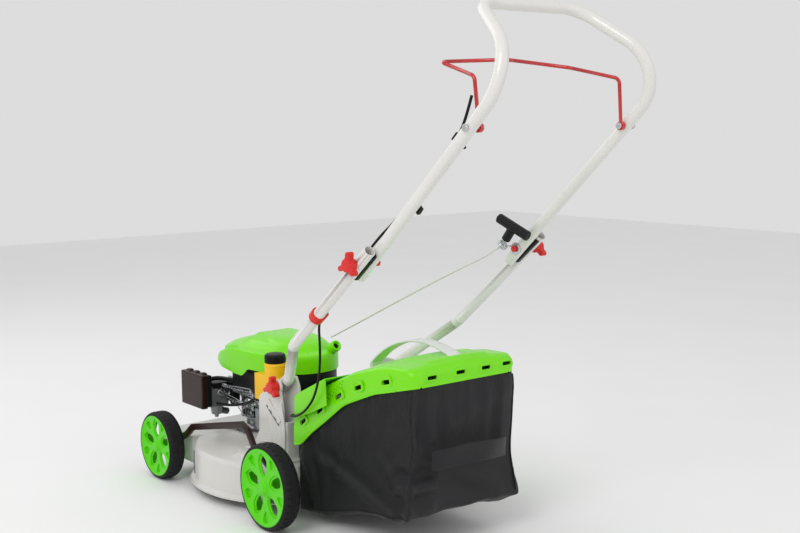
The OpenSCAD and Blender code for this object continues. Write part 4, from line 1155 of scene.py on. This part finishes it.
def makeHoses(cx, px):
    for name, points, radius, slot in (
            ("breatherHose", [(px + 10, 62, 212), (px + 40, 70, 214), (cx - 30, 84, 216),
                              (cx - 6, 98, 214), (cx + 2, 112, 206), (cx + 4, 123, 200)],
             5.2, "black"),
            ("fuelHose", [(238, 98, 214), (268, 100, 196), (310, 96, 178), (360, 98, 166),
                          (410, 98, 158), (cx - 14, 92, 154)], 3.2, "black"),
            ("ignitionLead", [(398, 0, 171), (410, 14, 182), (402, 34, 204), (384, 52, 214),
                              (366, 60, 226), (350, 62, 236)], 3.4, "black"),
            ("governorRod", [(px - 30, 88, 212), (px + 20, 92, 210), (cx - 34, 92, 200),
                             (cx - 20, 84, 196)], 1.2, "steel"),
            ("chokeRod", [(px - 10, 84, 170), (px + 30, 88, 178), (cx - 50, 90, 184),
                          (cx - 28, 88, 184)], 1.1, "steel"),
            ("brakeRod", [(px - 60, 92, 150), (px - 20, 90, 142), (px + 20, 84, 150),
                          (px + 44, 80, 160)], 1.2, "steel"),
            ("oilPipe", [(px - 84, 84, 180), (px - 80, 92, 150), (px - 60, 94, 134),
                         (px - 40, 84, 124)], 4, "dark_steel")):
        rod(name, points, radius, slot)
    for k in range(4):  # ribs on the deck's top plate, under the engine
        rib = [(316 + 12 * k, 100 - 5 * k, 113.6), (352 + 10 * k, 60 - 3 * k, 114),
               (372 + 9 * k, 10, 113.6)]
        rod(f"deckRib{k}", rib, 1.8, "steel", sides=8)


def makeBolts(cx, cy, px):
    spots = [(px - 30, 85, 206), (px - 30, 85, 158), (px + 30, 83, 170), (px - 60, 91, 184),
             (px - 20, 91, 184), (px + 8, 60, 136), (px + 52, 60, 136), (px + 52, 60, 182),
             (px + 8, 60, 182), (px - 44, 92, 140), (cx - 12, cy + 24, 152),
             (cx + 12, cy + 24, 190)]
    for k, (x, y, z) in enumerate(spots):
        drum(f"engineBolt{k}", (x, y, z), (x, y + 4.5, z), boltHead, "steel", sides=6)
    for k, (x, y) in enumerate(((290, 60), (322, 72), (352, 64), (300, 78))):
        drum(f"plateBolt{k}", (x, y, 198), (x, y, 203), boltHead, "steel", sides=6)


def makeEngineParts(s):
    cx, cy = s["carb"]
    px, py = s["plate"]
    makeBlocks(cx, cy, px, py)
    makeDrums(cx, cy)
    makeHoses(cx, px)
    spring("governorSpring", (px - 30, 86, 206), (cx - 20, 80, 197), 3.2, s["springTurns"], 0.55)
    spring("brakeSpring", (px - 64, 93, 186), (px - 8, 93, 168), 3.6, 8, 0.6)
    spring("chokeSpring", (px + 6, 84, 160), (cx - 22, 74, 172), 2.4, 9, 0.5)
    makeBolts(cx, cy, px)


makeEngineParts(engineSet)
print("engine parts ready")


labelSet = {"centre": (240, 247), "angle": 128, "radius": 88}


def makeLabel(s):  # blank plate on the fan housing, with a grey bar and no lettering
    cx, cz = s["centre"]
    for name, wide, tall, out, slot in (("labelPlate", 30, 9, 0.5, "clear_white"),
                                        ("labelBar", 20, 3.2, 0.8, "dark_steel")):
        def curve(u, v):
            a = math.radians(s["angle"]) + (u - 0.5) * wide / s["radius"]
            r = s["radius"] + out
            return at(cx + r * math.cos(a), r * math.sin(a), cz + (v - 0.5) * tall)
        plate = shell(name, 12, 2, curve)
        m = plate.modifiers.new("thickness", "SOLIDIFY")
        m.thickness = 0.0004
        applyAll(plate)
        dress(plate, slot, "chassis")


makeLabel(labelSet)


capSet = {"at": (170, 104, 296.3), "collarAt": (170, 104, 288.6), "ribs": 40, "rib": 0.0011,
          "teeth": 16, "tooth": 0.0022}


def makeCapAndCollar(s):
    upright = Matrix.Rotation(math.radians(90), 4, "X")
    profile = [(0, 19.8), (14, 20), (18, 19.4), (21, 18), (22.4, 15.8), (22.8, 13),
               (22.8, 1.5), (22, 0), (19, 0), (19, 16), (0, 16.5)]
    cap = lathe("fuelCapRibbed", profile, s["ribs"] * 4)
    for v in cap.data.vertices:
        r = math.hypot(v.co.x, v.co.z)
        if r > 0.0218 and 0.001 < v.co.y < 0.0165:
            a = math.atan2(v.co.z, v.co.x)
            k = 1 - s["rib"] / r * (1 if math.cos(a * s["ribs"]) < -0.2 else 0)
            v.co.x *= k
            v.co.z *= k
    cap.data.transform(Matrix.Translation(at(*s["at"])) @ upright)
    smooth(cap, 28)
    dress(cap, "black", "fuel_cap", "fuel_cap")
    profile = [(18.8, 0), (23.4, 0), (23.6, 3), (22.6, 6.4), (20.6, 7.2), (18.8, 7)]
    collar = lathe("tankCollar", profile, 96)  # toothed, on the tank under the cap
    for v in collar.data.vertices:
        a = math.atan2(v.co.z, v.co.x)
        if v.co.y > 0.005:
            v.co.y -= s["tooth"] * (1 if math.cos(a * s["teeth"]) > 0.1 else 0)
    collar.data.transform(Matrix.Translation(at(*s["collarAt"])) @ upright)
    smooth(collar, 30)
    dress(collar, "yellow", "chassis")


makeCapAndCollar(capSet)


bracketFace = 163.6


def makeBracketRidges():  # curved ribs at each bracket's foot, and the slanted rib under its knob
    for side, word in ((1, "Left"), (-1, "Right")):
        y, flat = side * (bracketFace + 1), side * (bracketFace + 0.9)
        for k in range(3):
            r = 26 + 9 * k
            arc = []
            for degrees in range(12, 169, 12):
                a = math.radians(degrees)
                arc.append((104 + r * 1.25 * math.cos(a), flat, 118 + r * 0.62 * math.sin(a)))
            rod(f"footRidge{word}{k}", arc, 2.0, "deck_paint", sides=8)
        slant = [(60, y, 196), (84, y, 216), (104, y, 236)]
        rod(f"slantRib{word}", slant, 2.6, "deck_paint", sides=8)
        # a dark rod where the slot is: painted shade standing in for the slot's hollow
        y = side * (bracketFace + 0.6)
        rod(f"slotShadeRib{word}", [(66, y, 188), (92, y, 206), (112, y, 222)], 1.6, "dark_steel",
            sides=8)
        y = side * (bracketFace + 1)
        rod(f"edgeRib{word}", [(48, y, 122), (44, y, 160), (46, y, 200), (56, y, 236)], 2.4,
            "deck_paint", sides=8)


makeBracketRidges()


def makeDeckTrim():  # the deck's rolled lower lip, and a seam on its left
    lip = []
    for degrees in range(50, 311, 4):
        a = math.radians(degrees)
        lip.append((240 + 244 * math.cos(a), 244 * math.sin(a), 21))
    rod("deckLip", lip, 1.6, "deck_paint", sides=8)
    a = math.radians(64)
    seam = [(240 + 236 * math.cos(a), 236 * math.sin(a), z) for z in (32, 50, 70, 84)]
    rod("deckSeam", seam, 1.3, "dark_steel", sides=8)


makeDeckTrim()
print("trim ready")

# all the other pieces keep their CAD shape, with softer edges
for node in ("left_foot_knob", "right_foot_knob", "left_fold_knob", "right_fold_knob"):
    moulded(node, 0.0011, 8)
for node, voxel, rounds in (("starter_grip", 0.0012, 10), ("air_filter_cover", 0.0014, 12),
                            ("air_filter_base", 0.0012, 3), ("fuel_tank", 0.0012, 5),
                            ("left_bracket", 0.0014, 5), ("right_bracket", 0.0014, 5),
                            ("carburettor", 0.0011, 5), ("cable_clip", 0.0009, 6)):
    moulded(node, voxel, rounds)
print("mouldings ready")
edgeOf = {"deck": 0.002, "fan_housing": 0.002, "engine_block": 0.0012, "muffler": 0.003,
          "link_bar": 0.0018, "height_lever": 0.0015, "side_trim": 0.0018, "lower_tubes": 0,
          "bail": 0, "discharge_flap": 0.0008, "carry_handle": 0.0012, "tube_spacers": 0.0015}
shown = {n for o in bpy.data.objects for n in o.get("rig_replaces", [])}
for node in sorted(cad):
    if node not in shown:
        softened(node, edgeOf.get(node, 0.0006))
print("the rest ready")
